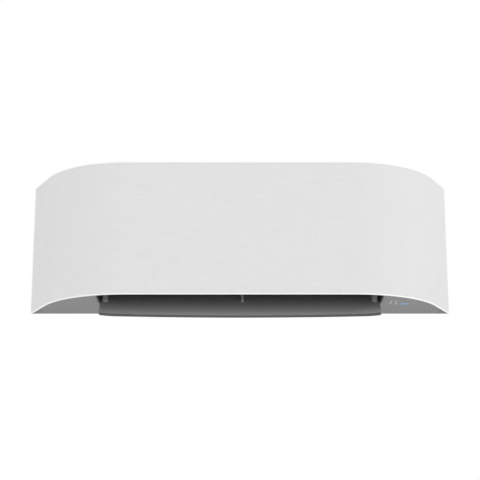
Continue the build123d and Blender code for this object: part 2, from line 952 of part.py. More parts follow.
def fins(name):
    """A block of fins: grooves across its outer face, and a hole for each tube."""
    block_body = prism(slab_outline(name), -coil_half, coil_half)
    length, top = slabs[name][2], coil_thick / 2
    ends = [
        slab_point(name, distance, side)
        for distance, side in (
            (-cut_over, top - fin_groove_depth),
            (-cut_over, top + cut_over),
            (length + cut_over, top + cut_over),
            (length + cut_over, top - fin_groove_depth),
        )
    ]
    count = int((2 * coil_half - fin_pitch) // fin_pitch)
    first = -count * fin_pitch / 2
    grooves = [
        prism(ends, first + i * fin_pitch, first + i * fin_pitch + fin_groove) for i in range(count)
    ]
    holes = [
        rod(-coil_half - cut_over, coil_half + cut_over, place, tube_radius + running_gap)
        for place in tube_points(name)
    ]
    return block_body - grooves - holes


def coil_end_plate():
    """The right tube plate: one sheet that follows the three blocks, with two feet."""
    x0, x1 = coil_half, coil_half + coil_plate
    outlines = [slab_outline(name, coil_plate_edge) for name in slabs]
    front, upper, rear = outlines
    links = [
        [front[1], upper[0], upper[3], front[2]],
        [upper[1], rear[1], rear[2], upper[2]],
    ]
    front_low = slab_point("front", 0, 0)
    rear_low = slab_point("rear", 0, 0)
    seat = coil_foot_half
    feet = [
        block(
            (x0, x1),
            (front_low[0] - seat, front_low[0] + seat),
            (pan_floor + pan_wall, front_low[1] + seat),
        ),
        block(
            (x0, x1),
            (rear_low[0] - seat, rear_low[0] + seat),
            (trough_up + moulded_wall, rear_low[1] + seat),
        ),
    ]
    plate = one_of([prism(outline, x0, x1) for outline in outlines + links], feet)
    for name in slabs:
        for place in tube_points(name):
            plate -= rod(x0 - cut_over, x1 + cut_over, place, tube_radius + running_gap)
    return plate


def bend(x, start, end, way):
    """The half-round centre line that joins two tube ends at x, bulging towards way."""
    middle = ((start[0] + end[0]) / 2, (start[1] + end[1]) / 2)
    radius = math.dist(start, end) / 2
    return ThreePointArc(spot(x, start), spot(x + way * radius, middle), spot(x, end))


def hairpins():
    """The tubes: each hairpin runs the length of the coil, turns at the left and comes back."""
    pins = []
    x0 = -coil_half - coil_plate - tube_stub / 2
    for name in slabs:
        for side in (1, -1):
            for i in range(0, tube_count(name), 2):
                p, q = tube_point(name, i, side), tube_point(name, i + 1, side)
                path = Wire(
                    [
                        Line(spot(tube_end, p), spot(x0, p)).edge(),
                        bend(x0, p, q, -1).edge(),
                        Line(spot(x0, q), spot(tube_end, q)).edge(),
                    ]
                )
                pins.append(tube(path, tube_radius))
    return pins


def return_bends():
    """The bends at the right end, from hairpin to hairpin and from row to row."""
    bends = []
    for name in slabs:
        count = tube_count(name)
        linked = 0 if name == "front" else count - 1
        pairs = [(tube_point(name, linked, 1), tube_point(name, linked, -1))]
        for side in (1, -1):
            for i in range(1, count - 1, 2):
                pairs.append((tube_point(name, i, side), tube_point(name, i + 1, side)))
        bends += [tube(bend(tube_end, p, q, 1), tube_radius) for p, q in pairs]
    return bends


# ---- refrigerant pipes ----
def header_places(side):
    """Where the three blocks join a header: the free tube of each block in one row."""
    last = tube_count("front") - 1
    return [
        tube_point("front", last, side),
        tube_point("upper", 0, side),
        tube_point("rear", 0, side),
    ]


def refrigerant_pipe(side, x, line, end_x, radius):
    """A header with its three stubs, and the pipe from it down to the channel and along it."""
    places = header_places(side)
    path = FilletPolyline(
        *[spot(x, place) for place in places],
        spot(pipe_drop_x, (line[0], places[-1][1])),
        spot(pipe_drop_x, line),
        spot(end_x, line),
        radius=[header_bend, header_bend, pipe_bend, pipe_bend],
    )
    stubs = [rod(tube_end, x, place, tube_radius) for place in places]
    return one_of(tube(path, radius), stubs)


def flare_union(line, end_x, pipe_radius, hexagon, thread_radius, thread_length):
    """A brass union: a hexagon round the pipe's end and a threaded spigot past it."""
    centre = Location(spot(end_x - hex_length / 2, line), (0, 90, 0))
    flats = RegularPolygon(hexagon / 2, 6, major_radius=False)
    nut = centre * extrude(flats, hex_length / 2, both=True)
    spigot = rod(end_x - hex_length - thread_length, end_x - hex_length, line, thread_radius)
    start = end_x - hex_length - thread_length
    bore = rod(start - cut_over, end_x + cut_over, line, pipe_radius - pipe_wall)
    return one_of(nut, spigot) - bore


def pipe_clamp():
    """A clip on the back wall that holds both pipes and the drain hose."""
    low, high = clamp_ups
    outline = [
        (casing_face, low),
        (hose_line[0] + hose_radius / 2, low),
        (hose_line[0] + hose_radius / 2, hose_line[1] + hose_radius),
        (gas_line[0] + gas_radius + clamp_wall, high),
        (casing_face, high),
    ]
    x1 = clamp_x + clamp_width
    clip = prism(outline, clamp_x, x1)
    runs = ((gas_line, gas_radius), (liquid_line, liquid_radius), (hose_line, hose_radius))
    for line, radius in runs:
        clip -= rod(clamp_x - cut_over, x1 + cut_over, line, radius + running_gap)
    return clip


# ---- fan, motor and bearing ----
def blade(index, x0, x1, stagger):
    """One forward-curved blade of the impeller."""
    angle = 360 * index / fan_blades + stagger
    tip_radius = fan_radius - blade_tip_inset
    root = polar(blade_inner_radius, angle)
    tip = polar(tip_radius, angle + blade_rake)
    chord = math.dist(root, tip)
    across = ((tip[1] - root[1]) / chord, -(tip[0] - root[0]) / chord)

    def shifted(share, offset):
        return (
            root[0] + (tip[0] - root[0]) * share + across[0] * offset,
            root[1] + (tip[1] - root[1]) * share + across[1] * offset,
        )

    half = blade_thick / 2
    edges = [
        ThreePointArc(
            spot(0, shifted(0, half)),
            spot(0, shifted(0.5, half + blade_bulge)),
            spot(0, shifted(1, half)),
        ),
        Line(spot(0, shifted(1, half)), spot(0, shifted(1, -half))),
        ThreePointArc(
            spot(0, shifted(1, -half)),
            spot(0, shifted(0.5, blade_bulge - half)),
            spot(0, shifted(0, -half)),
        ),
        Line(spot(0, shifted(0, -half)), spot(0, shifted(0, half))),
    ]
    return bar(edges, x0, x1)


def fan_impeller():
    centre = (fan_depth, fan_up)
    pieces = []
    for s in range(fan_segments + 1):
        x = -fan_half + s * (2 * fan_half - disc_thick) / fan_segments
        disc = rod(x, x + disc_thick, centre, fan_radius)
        if 0 < s < fan_segments:
            end = x + disc_thick + cut_over
            disc -= rod(x - cut_over, end, centre, blade_inner_radius - disc_thick)
        pieces.append(disc)
    for s in range(fan_segments):
        step = (2 * fan_half - disc_thick) / fan_segments
        x0 = -fan_half + s * step + disc_thick
        x1 = -fan_half + (s + 1) * step
        pieces += [blade(i, x0, x1, s * segment_stagger) for i in range(fan_blades)]
    return one_of(pieces)


def fan_pin():
    return rod(-fan_half - fan_pin_length, -fan_half, (fan_depth, fan_up), fan_pin_radius)


def motor_shaft():
    centre = (fan_depth, fan_up)
    hub = rod(fan_half, duct_half - wall_gap, centre, hub_radius)
    return one_of(hub, rod(fan_half, motor_start + shaft_socket, centre, fan_pin_radius))


def fan_motor():
    centre = (fan_depth, fan_up)
    body = rod(motor_start, motor_end, centre, motor_radius)
    nose = rod(motor_start - motor_nose, motor_start, centre, motor_nose_radius)
    bore = rod(
        motor_start - motor_nose - cut_over,
        motor_start + shaft_socket + wall_gap,
        centre,
        fan_pin_radius + running_gap,
    )
    rear_nose = rod(motor_end, motor_end + motor_nose / 2, centre, motor_nose_radius)
    return one_of(body, nose, rear_nose) - bore


def clamp_screws():
    """The (x, up, face depth) of the two screws of the motor clamp."""
    x = sum(saddle) / 2
    reach = saddle_height / 2 - head_radius - wall_gap
    face = saddle_depth + motor_clamp_thick
    return [(x, fan_up + way * reach, face) for way in (-1, 1)]


def screw(x, up, face):
    """A screw that points at the wall, its head on a face at a given depth."""
    head = stud(x, up, (face, face + head_height), head_radius)
    return one_of(head, stud(x, up, (face - screw_length, face), screw_radius))


def screw_hole(x, up, face):
    return stud(x, up, (face - screw_length - wall_gap, face + cut_over), screw_radius + running_gap)


def motor_clamp():
    """The strap over the room side of the motor, with a tab on the saddle at each end."""
    inner = motor_radius + sliding_gap
    outer = inner + motor_clamp_thick
    x0 = sum(saddle) / 2 - motor_clamp_width / 2
    x1 = x0 + motor_clamp_width
    reach = fan_depth - saddle_depth - motor_clamp_thick / 2
    start = math.degrees(math.acos(reach / outer))
    strap = ring_sector(inner, outer, start, 360 - start, x0, x1)
    near = math.sqrt(inner**2 - reach**2)
    tabs = [
        block(
            (x0, x1),
            (saddle_depth, saddle_depth + motor_clamp_thick),
            (fan_up + way * near, fan_up + way * saddle_height / 2),
        )
        for way in (-1, 1)
    ]
    clamp = one_of(strap, tabs) - rod(x0 - cut_over, x1 + cut_over, (fan_depth, fan_up), inner)
    for place in clamp_screws():
        clamp -= screw_hole(*place)
    return clamp


def fan_bearing():
    centre = (fan_depth, fan_up)
    inner_x = -fan_half - bearing_gap
    plate_x = -duct_half - moulded_wall - bay_width
    body = rod(inner_x - bearing_length, inner_x, centre, bearing_radius)
    flange = rod(plate_x - moulded_wall, plate_x, centre, bearing_radius + moulded_wall)
    x0, x1 = inner_x - bearing_length - cut_over, inner_x + cut_over
    bore = rod(x0, x1, centre, fan_pin_radius + running_gap)
    return one_of(body, flange) - bore


# ---- flap ----
flap_axis = Axis(spot(0, (flap_pivot_depth, flap_pivot_up)), (1, 0, 0))
flap_span = (outlet_rear_depth + flap_rear_gap, unit_depth - panel_wall - flap_tip_gap)


def flap_up(depth, rise, bulge):
    """The height at a depth of a curve across the closed flap, which bulges in the middle."""
    share = (2 * depth - sum(flap_span)) / (flap_span[1] - flap_span[0])
    return flap_lower_up + rise + bulge * (1 - share**2)


def flap_arc(rise, bulge, margins=(0.0, -wall_gap)):
    """Three points of such a curve, its two ends a margin inside the flap's rear edge and tip."""
    rear, tip = flap_span[0] + margins[0], flap_span[1] - margins[1]
    return [(depth, flap_up(depth, rise, bulge)) for depth in (rear, (rear + tip) / 2, tip)]


def flap_section(low, high, half):
    """A bar between two such curves."""
    edges = [
        ThreePointArc(*[spot(0, place) for place in low]),
        ThreePointArc(*[spot(0, place) for place in high]),
    ]
    edges.append(Line(spot(0, low[0]), spot(0, high[0])))
    edges.append(Line(spot(0, low[2]), spot(0, high[2])))
    return bar(edges, -half, half)


def flap_outline():
    """An upright block with the flap's front edge: a shallow bow that turns in at both ends."""
    start = math.asin((flap_half - flap_end_run) / flap_bow_radius)
    apart = flap_bow_radius - flap_end_radius
    end_x = apart * math.sin(start)
    end_y = flap_bow_radius - flap_span[1] - apart * math.cos(start)
    end = math.asin((flap_half + cut_over - end_x) / flap_end_radius)

    def on_bow(angle):
        fall = flap_bow_radius * (1 - math.cos(angle))
        return (flap_bow_radius * math.sin(angle), fall - flap_span[1])

    def on_end(side, angle):
        return (
            side * (end_x + flap_end_radius * math.sin(angle)),
            end_y - flap_end_radius * math.cos(angle),
        )

    edges = [ThreePointArc(on_bow(-start), on_bow(0), on_bow(start))]
    for side in (-1, 1):
        places = [on_end(side, angle) for angle in (start, (start + end) / 2, end)]
        edges.append(ThreePointArc(*places))
        edges.append(Line(places[2], (places[2][0], 0)))
    edges.append(Line((on_end(-1, end)[0], 0), (on_end(1, end)[0], 0)))
    return Pos(0, 0, level(-unit_depth)) * extrude(make_face(edges), amount=2 * unit_depth)


def flap_blank(low, high):
    """One skin of the closed flap, its front corners rounded."""
    blank = flap_section(low, high, flap_half) & flap_outline()
    corners = [
        edge
        for edge in blank.edges().filter_by(Axis.Z)
        if abs(abs(edge.center().X) - flap_half) < wall_gap and edge.center().Y < -flap_pivot_depth
    ]
    return fillet(corners, flap_corner)


def flap_hollow():
    margins = (flap_margin, flap_margin)
    low = flap_arc(flap_skin, -flap_belly, margins)
    high = flap_arc(flap_edge - flap_skin, flap_crown, margins)
    return flap_section(low, high, flap_half - flap_margin)


def flap_parting():
    return flap_arc(flap_edge / 2, (flap_crown - flap_belly) / 2)


def flap_arm(x0, width):
    """An arm from the inner skin up to the pivot."""
    pivot = (flap_pivot_depth, flap_pivot_up)
    in_skin = flap_edge - flap_skin / 2
    web = prism(
        [
            (arm_foot[0], flap_up(arm_foot[0], in_skin, flap_crown)),
            (arm_foot[1], flap_up(arm_foot[1], in_skin, flap_crown)),
            (pivot[0] - arm_boss, pivot[1]),
            (pivot[0] + arm_boss, pivot[1]),
        ],
        x0,
        x0 + width,
    )
    return one_of(web, rod(x0, x0 + width, pivot, arm_boss))


def flap_inner():
    skin = flap_blank(flap_parting(), flap_arc(flap_edge, flap_crown)) - flap_hollow()
    pivot = (flap_pivot_depth, flap_pivot_up)
    arm_x = flap_half - arm_inset - arm_width
    wall = duct_half + moulded_wall
    rib_x = centre_arm_x - centre_gap - centre_rib_width
    pins = [
        rod(-wall, -arm_x, pivot, flap_pin_radius),
        rod(arm_x, wall + shaft_socket, pivot, flap_pin_radius),
        rod(rib_x, centre_arm_x + wall_gap, pivot, flap_pin_radius),
    ]
    arms = both_ends(flap_arm(arm_x, arm_width))
    arms.append(flap_arm(centre_arm_x, centre_arm_width))
    return one_of(skin, arms, pins).rotate(flap_axis, flap_rest)


def flap_outer():
    skin = flap_blank(flap_arc(0, -flap_belly), flap_parting()) - flap_hollow()
    return skin.rotate(flap_axis, flap_rest)


# ---- vanes ----
def vane_places(sides=(-1, 1)):
    return [
        side * (vane_first_x + i * vane_pitch) for side in sides for i in range(vanes_per_bank)
    ]


def drop_bar(x, run, drops, radius):
    """A round bar square to the duct's upper wall, between two distances below it."""
    start = Vector(*spot(x, on_duct(run, drops[0])))
    end = Vector(*spot(x, on_duct(run, drops[1])))
    way = end - start
    return extrude(Plane(origin=start, z_dir=way) * Circle(radius), amount=way.length)


def vane(x):
    """One vane: a blade that hangs into the duct, its pivot above and its link pin below."""
    upstream, downstream = vane_from_tongue - vane_upstream, vane_from_tongue + vane_downstream
    first = abs(x) < vane_first_x + vane_thick
    pin_top = -moulded_wall - (shaft_socket if first else wall_gap)
    blade_body = prism(
        [
            on_duct(upstream, vane_lift),
            on_duct(downstream, vane_lift),
            on_duct(downstream - vane_slant[1], vane_reach),
            on_duct(upstream + vane_slant[0], vane_reach),
        ],
        x - vane_thick / 2,
        x + vane_thick / 2,
    )
    pivot = drop_bar(x, vane_from_tongue, (pin_top, vane_collar), vane_pin_radius)
    pin_end = vane_reach + link_gap + link_size[1] + vane_lift
    link_run = vane_from_tongue + link_arm
    link_pin = drop_bar(x, link_run, (vane_reach - cut_over, pin_end), link_pin_radius)
    return one_of(blade_body, pivot, link_pin)


def vane_link(side):
    """The bar that joins the vanes of one bank."""
    places = vane_places((side,))
    run = vane_from_tongue + link_arm
    half = link_size[0] / 2
    low, high = vane_reach + link_gap, vane_reach + link_gap + link_size[1]
    ends = [min(places) - link_size[0], max(places) + link_size[0]]
    outline = [
        on_duct(run - half, low),
        on_duct(run + half, low),
        on_duct(run + half, high),
        on_duct(run - half, high),
    ]
    link = prism(outline, *ends)
    for x in places:
        link -= drop_bar(x, run, (low - cut_over, high + cut_over), link_pin_radius + running_gap)
    return link


# ---- small motors ----
def vane_motor(x):
    """A stepper on the upper side of the duct's wall, over the first vane of a bank."""
    run, base = vane_from_tongue, -moulded_wall
    top = base - stepper_length
    body = drop_bar(x, run, (top, base), stepper_radius)
    half = fan_pin_radius
    ears = prism(
        [
            on_duct(run - half, base - stepper_flange),
            on_duct(run + half, base - stepper_flange),
            on_duct(run + half, base),
            on_duct(run - half, base),
        ],
        x - stepper_ear,
        x + stepper_ear,
    )
    socket = (base - shaft_socket - wall_gap, base + cut_over)
    return one_of(body, ears) - drop_bar(x, run, socket, vane_pin_radius + running_gap)


def flap_motor():
    """The stepper outside the right end wall that turns the flap."""
    x0 = duct_half + moulded_wall
    pivot = (flap_pivot_depth, flap_pivot_up)
    body = rod(x0, x0 + stepper_length, pivot, stepper_radius)
    ups = (pivot[1] - fan_pin_radius, pivot[1] + fan_pin_radius)
    ears = block((x0, x0 + stepper_flange), (pivot[0] - stepper_ear, pivot[0] + stepper_ear), ups)
    socket = rod(x0 - cut_over, x0 + shaft_socket + wall_gap, pivot, flap_pin_radius + running_gap)
    return one_of(body, ears) - socket


# ---- control box ----
def frame_half_at(depth, inset):
    """Half the width inside the panel's outline, drawn in by inset, at a depth."""
    radius = corner_radius - inset
    share = 1 - (unit_depth - inset - depth) / radius
    if share < math.cos(turn):
        return plan_half_width(inset, depth)
    return flat_half() + radius * math.sqrt(1 - share**2)


box_x = (box_start_x, frame_half_at(box_front + lid_thick, inner_inset) - box_gap)
box_ups = (box_bottom, box_top)


def lid_screws():
    """The (x, up, face depth) of the two screws of the lid."""
    x = sum(box_x) / 2
    inset = box_wall + head_radius
    face = box_front + lid_thick
    return [(x, box_bottom + inset, face), (x, box_top - inset, face)]


def control_box():
    tub = block(box_x, (casing_face, box_front), box_ups)
    inner_x = (box_x[0] + box_wall, box_x[1] - box_wall)
    inner_ups = (box_bottom + box_wall, box_top - box_wall)
    tub -= block(inner_x, (casing_face + box_wall, box_front + cut_over), inner_ups)
    boss = head_radius + box_wall / 2
    for x, up, face in lid_screws():
        depths = (box_front - screw_length - box_wall, box_front)
        tub += block((x - boss, x + boss), depths, (up - boss, up + boss))
    for place in lid_screws():
        tub -= screw_hole(*place)
    return tub & block(box_x, (0, box_front), box_ups)


def control_lid():
    lid = block(box_x, (box_front, box_front + lid_thick), box_ups)
    for place in lid_screws():
        lid -= screw_hole(*place)
    return lid


board_face = casing_face + box_wall + board_margin + board_thick


def control_board():
    """The main board on four pillars."""
    x_span = (box_x[0] + box_wall + wall_gap, box_x[1] - box_wall - wall_gap)
    ups = (box_bottom + terminal_size[2] + board_margin * 2, box_top - box_wall - board_margin)
    board = block(x_span, (board_face - board_thick, board_face), ups)
    pillars = [
        stud(x, up, (casing_face + box_wall, board_face - board_thick), board_thick)
        for x in (x_span[0] + board_margin, x_span[1] - board_margin)
        for up in (ups[0] + board_margin, ups[1] - board_margin)
    ]
    return one_of(board, pillars)


def board_components():
    """Capacitors, relays, a transformer and a heat sink on the main board."""
    x = sum(box_x) / 2
    low = box_bottom + terminal_size[2] + board_margin * 3
    pieces = []
    for i, (radius, tall) in enumerate(component_cans):
        up = low + (i + 0.5) * component_pitch
        pieces.append(stud(x - component_shift, up, (board_face, board_face + tall), radius))
    for i, (wide, tall, high) in enumerate(component_blocks):
        up = low + (i + 0.5) * block_pitch
        middle = x + component_shift
        span = (middle - wide / 2, middle + wide / 2)
        pieces.append(block(span, (board_face, board_face + tall), (up - high / 2, up + high / 2)))
    return pieces


def terminal_block():
    x = sum(box_x) / 2
    wide, deep, high = terminal_size
    rear = casing_face + box_wall
    up = box_bottom + box_wall
    body = block((x - wide / 2, x + wide / 2), (rear, rear + deep), (up, up + high))
    for i in range(terminal_ways):
        step = high / terminal_ways
        middle = up + (i + 0.5) * step
        notch = (rear + deep - notch_depth, rear + deep + cut_over)
        half = (step - notch_bar) / 2
        body -= block((x - notch_half, x + notch_half), notch, (middle - half, middle + half))
    return body


# ---- display, test button and sensors ----
def display_board():
    return block(board_x, board_depth, (board_up, board_up + board_thick))


def board_posts():
    inset = board_thick * 2
    return [
        post(x, depth, (trim_top, board_up), board_thick)
        for x in (board_x[0] + inset, board_x[1] - inset)
        for depth in (board_depth[0] + inset, board_depth[1] - inset)
    ]


def indicator_lenses():
    return [lamp_hole(x, x, depth, lamp_radius, (trim_recess, board_up)) for x, depth in lamp_places]


def power_lens():
    return lamp_hole(*power_lamp_x, power_lamp_depth, power_lamp_radius, (trim_recess, board_up))


flange_front = frame_depth - frame_wall - sliding_gap
flange_rear = flange_front - board_thick
tail_end = flange_rear - button_tail
switch_face = tail_end - button_travel - sliding_gap


def test_button():
    head = stud(button_x, button_up, (flange_front, frame_depth + button_proud), button_radius)
    flange = stud(button_x, button_up, (flange_rear, flange_front), button_flange)
    tail = stud(button_x, button_up, (tail_end, flange_rear), button_radius / 2)
    return one_of(head, flange, tail)


def switch_posts():
    """Two posts behind the front frame that carry the switch."""
    half = switch_size[0] / 2
    ups = (button_up - switch_size[2] / 2, button_up + switch_size[2] / 2)
    return [
        block(
            (button_x + way * half, button_x + way * (half - switch_post)),
            (switch_face, frame_depth - frame_wall / 2),
            ups,
        )
        for way in (-1, 1)
    ]


def test_switch():
    half = switch_size[0] / 2
    ups = (button_up - switch_size[2] / 2, button_up + switch_size[2] / 2)
    return block((button_x - half, button_x + half), (switch_face - switch_size[1], switch_face), ups)


def thermistors():
    """The coil sensor on the right tube plate, and the room sensor on the filter's end rail."""
    plate = coil_half + coil_plate
    coil_place = slab_point("front", tube_pitch * 3, 0)
    rail = filter_outer + sliding_gap + rail_web
    room_place = (filter_rear_depth - sliding_gap, fan_up + fan_radius)
    return [
        rod(plate, plate + sensor_length, coil_place, sensor_radius),
        rod(rail, rail + room_sensor_length, room_place, sensor_radius),
    ]


# ---- filters ----
def air_filter(side):
    """A filter: a framed and ribbed sheet of mesh with a tab to lift it by."""
    x0, x1 = rail_web + sliding_gap, filter_outer
    depths = (filter_rear_depth, filter_front_depth)
    ups = (filter_bottom, filter_top - filter_drop)
    sheet = block((x0, x1), depths, ups)
    wide = (x1 - x0 - 2 * filter_border + filter_rib) / filter_columns
    high = (ups[1] - ups[0] - 2 * filter_border + filter_rib) / filter_rows
    for column in range(filter_columns):
        for row in range(filter_rows):
            left = x0 + filter_border + column * wide
            low = ups[0] + filter_border + row * high
            opening = ((left, left + wide - filter_rib), (low, low + high - filter_rib))
            sheet -= block(opening[0], (depths[0] - cut_over, depths[1] + cut_over), opening[1])
    middle = sum(depths) / 2
    mesh_depths = (middle - filter_mesh_thick / 2, middle + filter_mesh_thick / 2)
    inset = filter_border / 2
    mesh = block((x0 + inset, x1 - inset), mesh_depths, (ups[0] + inset, ups[1] - inset))
    centre = (x0 + x1) / 2
    tab = block(
        (centre - filter_tab[0] / 2, centre + filter_tab[0] / 2),
        depths,
        (ups[1] - filter_border / 2, ups[1] + filter_tab[1]),
    )
    whole = one_of(sheet, mesh, tab)
    return whole if side > 0 else mirrored(whole)


# ---- write every node ----
os.makedirs("parts", exist_ok=True)

save("wall_plate", wall_plate())
save("rear_casing", rear_casing())
save("front_frame", front_frame())
save("filter_rails", filter_rails())
save("top_grille", top_grille())
save("base_trim_left", mirrored(trim_base()))
save("base_trim_right", one_of(base_trim_right(), board_posts()))
save("base_rear_cover", base_rear_cover())
save("outlet_duct", outlet_duct())
save("drain_pan", drain_pan())
save("drain_hose", drain_hose())
save("drain_plug", drain_plug())

for name in slabs:
    save(f"coil_fins_{name}", fins(name))
save("coil_plates", both_ends(coil_end_plate()))
save("coil_tubes", hairpins(), return_bends())

liquid_x, gas_x = header_x, header_x + header_step
save("liquid_pipe", refrigerant_pipe(1, liquid_x, liquid_line, liquid_end_x, liquid_radius))
save("gas_pipe", refrigerant_pipe(-1, gas_x, gas_line, gas_end_x, gas_radius))
save(
    "liquid_union",
    flare_union(
        liquid_line, liquid_end_x, liquid_radius, liquid_hex, liquid_thread_radius, liquid_thread_length
    ),
)
save(
    "gas_union",
    flare_union(gas_line, gas_end_x, gas_radius, gas_hex, gas_thread_radius, gas_thread_length),
)
save("pipe_clamp", pipe_clamp())

save("fan_impeller", fan_impeller())
save("fan_pin", fan_pin())
save("motor_shaft", motor_shaft())
save("fan_motor", fan_motor())
save("motor_clamp", motor_clamp())
save("fan_bearing", fan_bearing())

save("flap_outer", flap_outer())
save("flap_inner", flap_inner())
save("flap_motor", flap_motor())
save("vane_motors", [vane_motor(side * vane_first_x) for side in (-1, 1)])
for bank, side in (("left", -1), ("right", 1)):
    for number, x in enumerate(vane_places((side,)), start=1):
        save(f"vane_{bank}_{number}", vane(x))
    save(f"vane_link_{bank}", vane_link(side))

save("control_box", control_box())
save("control_lid", control_lid())
save("control_board", control_board())
save("board_components", board_components())
save("terminal_block", terminal_block())
save("display_board", display_board())
save("indicator_lenses", indicator_lenses())
save("power_lens", power_lens())
save("thermistors", thermistors())
save("test_button", test_button())
save("test_switch", test_switch())
save("screws", [screw(*place) for place in clamp_screws() + lid_screws()])

save("front_panel", front_panel())
save("panel_cover", cover_zone())
save("filter_left", air_filter(-1))
save("filter_right", air_filter(1))
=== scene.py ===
import math

import bmesh
import bpy
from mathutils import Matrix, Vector

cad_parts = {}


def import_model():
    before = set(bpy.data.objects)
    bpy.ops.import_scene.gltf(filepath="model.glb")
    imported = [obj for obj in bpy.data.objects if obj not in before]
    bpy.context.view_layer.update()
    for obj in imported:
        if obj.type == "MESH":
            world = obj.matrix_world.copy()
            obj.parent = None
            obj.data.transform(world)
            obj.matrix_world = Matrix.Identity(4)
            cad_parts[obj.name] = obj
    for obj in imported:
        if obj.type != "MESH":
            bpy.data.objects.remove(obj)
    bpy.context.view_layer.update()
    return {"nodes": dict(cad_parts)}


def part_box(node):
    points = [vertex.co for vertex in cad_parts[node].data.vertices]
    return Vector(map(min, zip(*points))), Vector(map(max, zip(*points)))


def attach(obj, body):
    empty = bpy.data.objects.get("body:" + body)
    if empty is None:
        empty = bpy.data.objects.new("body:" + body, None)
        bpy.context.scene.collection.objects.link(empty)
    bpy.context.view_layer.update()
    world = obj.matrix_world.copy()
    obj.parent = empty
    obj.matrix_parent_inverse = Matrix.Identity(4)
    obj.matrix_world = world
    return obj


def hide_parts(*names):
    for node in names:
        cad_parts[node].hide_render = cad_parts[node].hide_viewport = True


# The looks of a wall-hung room air conditioner. Lengths are in metres. X runs along the unit, -Y points
# into the room, and Z is up.

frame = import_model()

# ---- camera ----
camera_place = (0.0, -3.144, -0.816)
camera_pitch = math.radians(14.994)
camera_focal_pixels = 1363.0
picture_pixels = 480
sensor_width = 36.0

camera = bpy.data.objects.new("camera", bpy.data.cameras.new("camera"))
camera.location = camera_place
camera.rotation_euler = (math.pi / 2 + camera_pitch, 0, 0)
camera.data.sensor_width = sensor_width
camera.data.lens = camera_focal_pixels / picture_pixels * sensor_width
bpy.context.collection.objects.link(camera)
bpy.context.scene.camera = camera
bpy.context.scene.view_settings.view_transform = "Standard"


# ---- node helpers ----
def add(tree, kind, settings=None, **inputs):
    """A node with its settings, and its inputs set to a value or joined to another node's output."""
    made = tree.nodes.new(kind)
    for name, value in (settings or {}).items():
        setattr(made, name, value)
    for name, value in inputs.items():
        join(tree, made.inputs[name.replace("_", " ")], value)
    return made


def join(tree, socket, value):
    if isinstance(value, bpy.types.NodeSocket):
        tree.links.new(value, socket)
    else:
        socket.default_value = value


def maths(tree, operation, first, second=0.0):
    made = tree.nodes.new("ShaderNodeMath")
    made.operation = operation
    join(tree, made.inputs[0], first)
    join(tree, made.inputs[1], second)
    return made.outputs[0]


def blended(tree, share, first, second, way="MIX"):
    """Two colours blended by a share."""
    made = tree.nodes.new("ShaderNodeMix")
    made.data_type = "RGBA"
    made.blend_type = way
    join(tree, made.inputs["Factor"], share)
    join(tree, made.inputs[6], first)
    join(tree, made.inputs[7], second)
    return made.outputs[2]


def ranged(tree, value, low, high, new_low=0.0, new_high=1.0):
    """A value mapped from one range to another and held at both ends."""
    made = add(tree, "ShaderNodeMapRange", Value=value)
    for name, number in (
        ("From Min", low),
        ("From Max", high),
        ("To Min", new_low),
        ("To Max", new_high),
    ):
        join(tree, made.inputs[name], number)
    return made.outputs[0]


def noise(tree, where, scale, detail=2.0, roughness=0.5, distortion=0.0):
    made = add(
        tree,
        "ShaderNodeTexNoise",
        Vector=where,
        Scale=scale,
        Detail=detail,
        Roughness=roughness,
        Distortion=distortion,
    )
    return made.outputs["Fac"]


def stretched(tree, where, scale):
    """Coordinates scaled by a different number along each axis."""
    made = add(tree, "ShaderNodeMapping", {"vector_type": "POINT"}, Vector=where, Scale=scale)
    return made.outputs[0]


def bumped(tree, height, distance):
    return add(tree, "ShaderNodeBump", Height=height, Distance=distance, Strength=1.0).outputs[0]


def object_place(tree):
    return add(tree, "ShaderNodeTexCoord").outputs["Object"]


def object_axes(tree):
    """The X, Y and Z of the place on the object, each as an output."""
    return add(tree, "ShaderNodeSeparateXYZ", Vector=object_place(tree)).outputs


def even_colour(tree, value):
    """A grey whose three channels are one value."""
    return add(tree, "ShaderNodeCombineColor", Red=value, Green=value, Blue=value).outputs[0]


def new_group(name, inputs, outputs):
    """An empty node group with named sockets, and its two ends."""
    group = bpy.data.node_groups.new(name, "ShaderNodeTree")
    kinds = {float: "NodeSocketFloat", tuple: "NodeSocketColor"}
    for label, value in inputs.items():
        made = group.interface.new_socket(label, in_out="INPUT", socket_type=kinds[type(value)])
        made.default_value = value
    for label, kind in outputs.items():
        group.interface.new_socket(label, in_out="OUTPUT", socket_type=f"NodeSocket{kind}")
    return group, group.nodes.new("NodeGroupInput").outputs, group.nodes.new("NodeGroupOutput").inputs


def grey(level, warmth=0.0):
    """A grey, a little warmer or, where warmth is negative, bluer."""
    return (level * (1 + max(warmth, 0.0)), level, level * (1 - warmth), 1.0)


# ---- shared surface effects ----
surface_outputs = {"Color": "Color", "Roughness": "Float", "Normal": "Vector"}
cloud_scale = 11.0
cloud_span = 0.25
dust_colour = (0.42, 0.4, 0.37, 1.0)
dust_scale = 130.0
spangle_scale = 95.0
film_scale = 24.0
streak_height = 0.00003


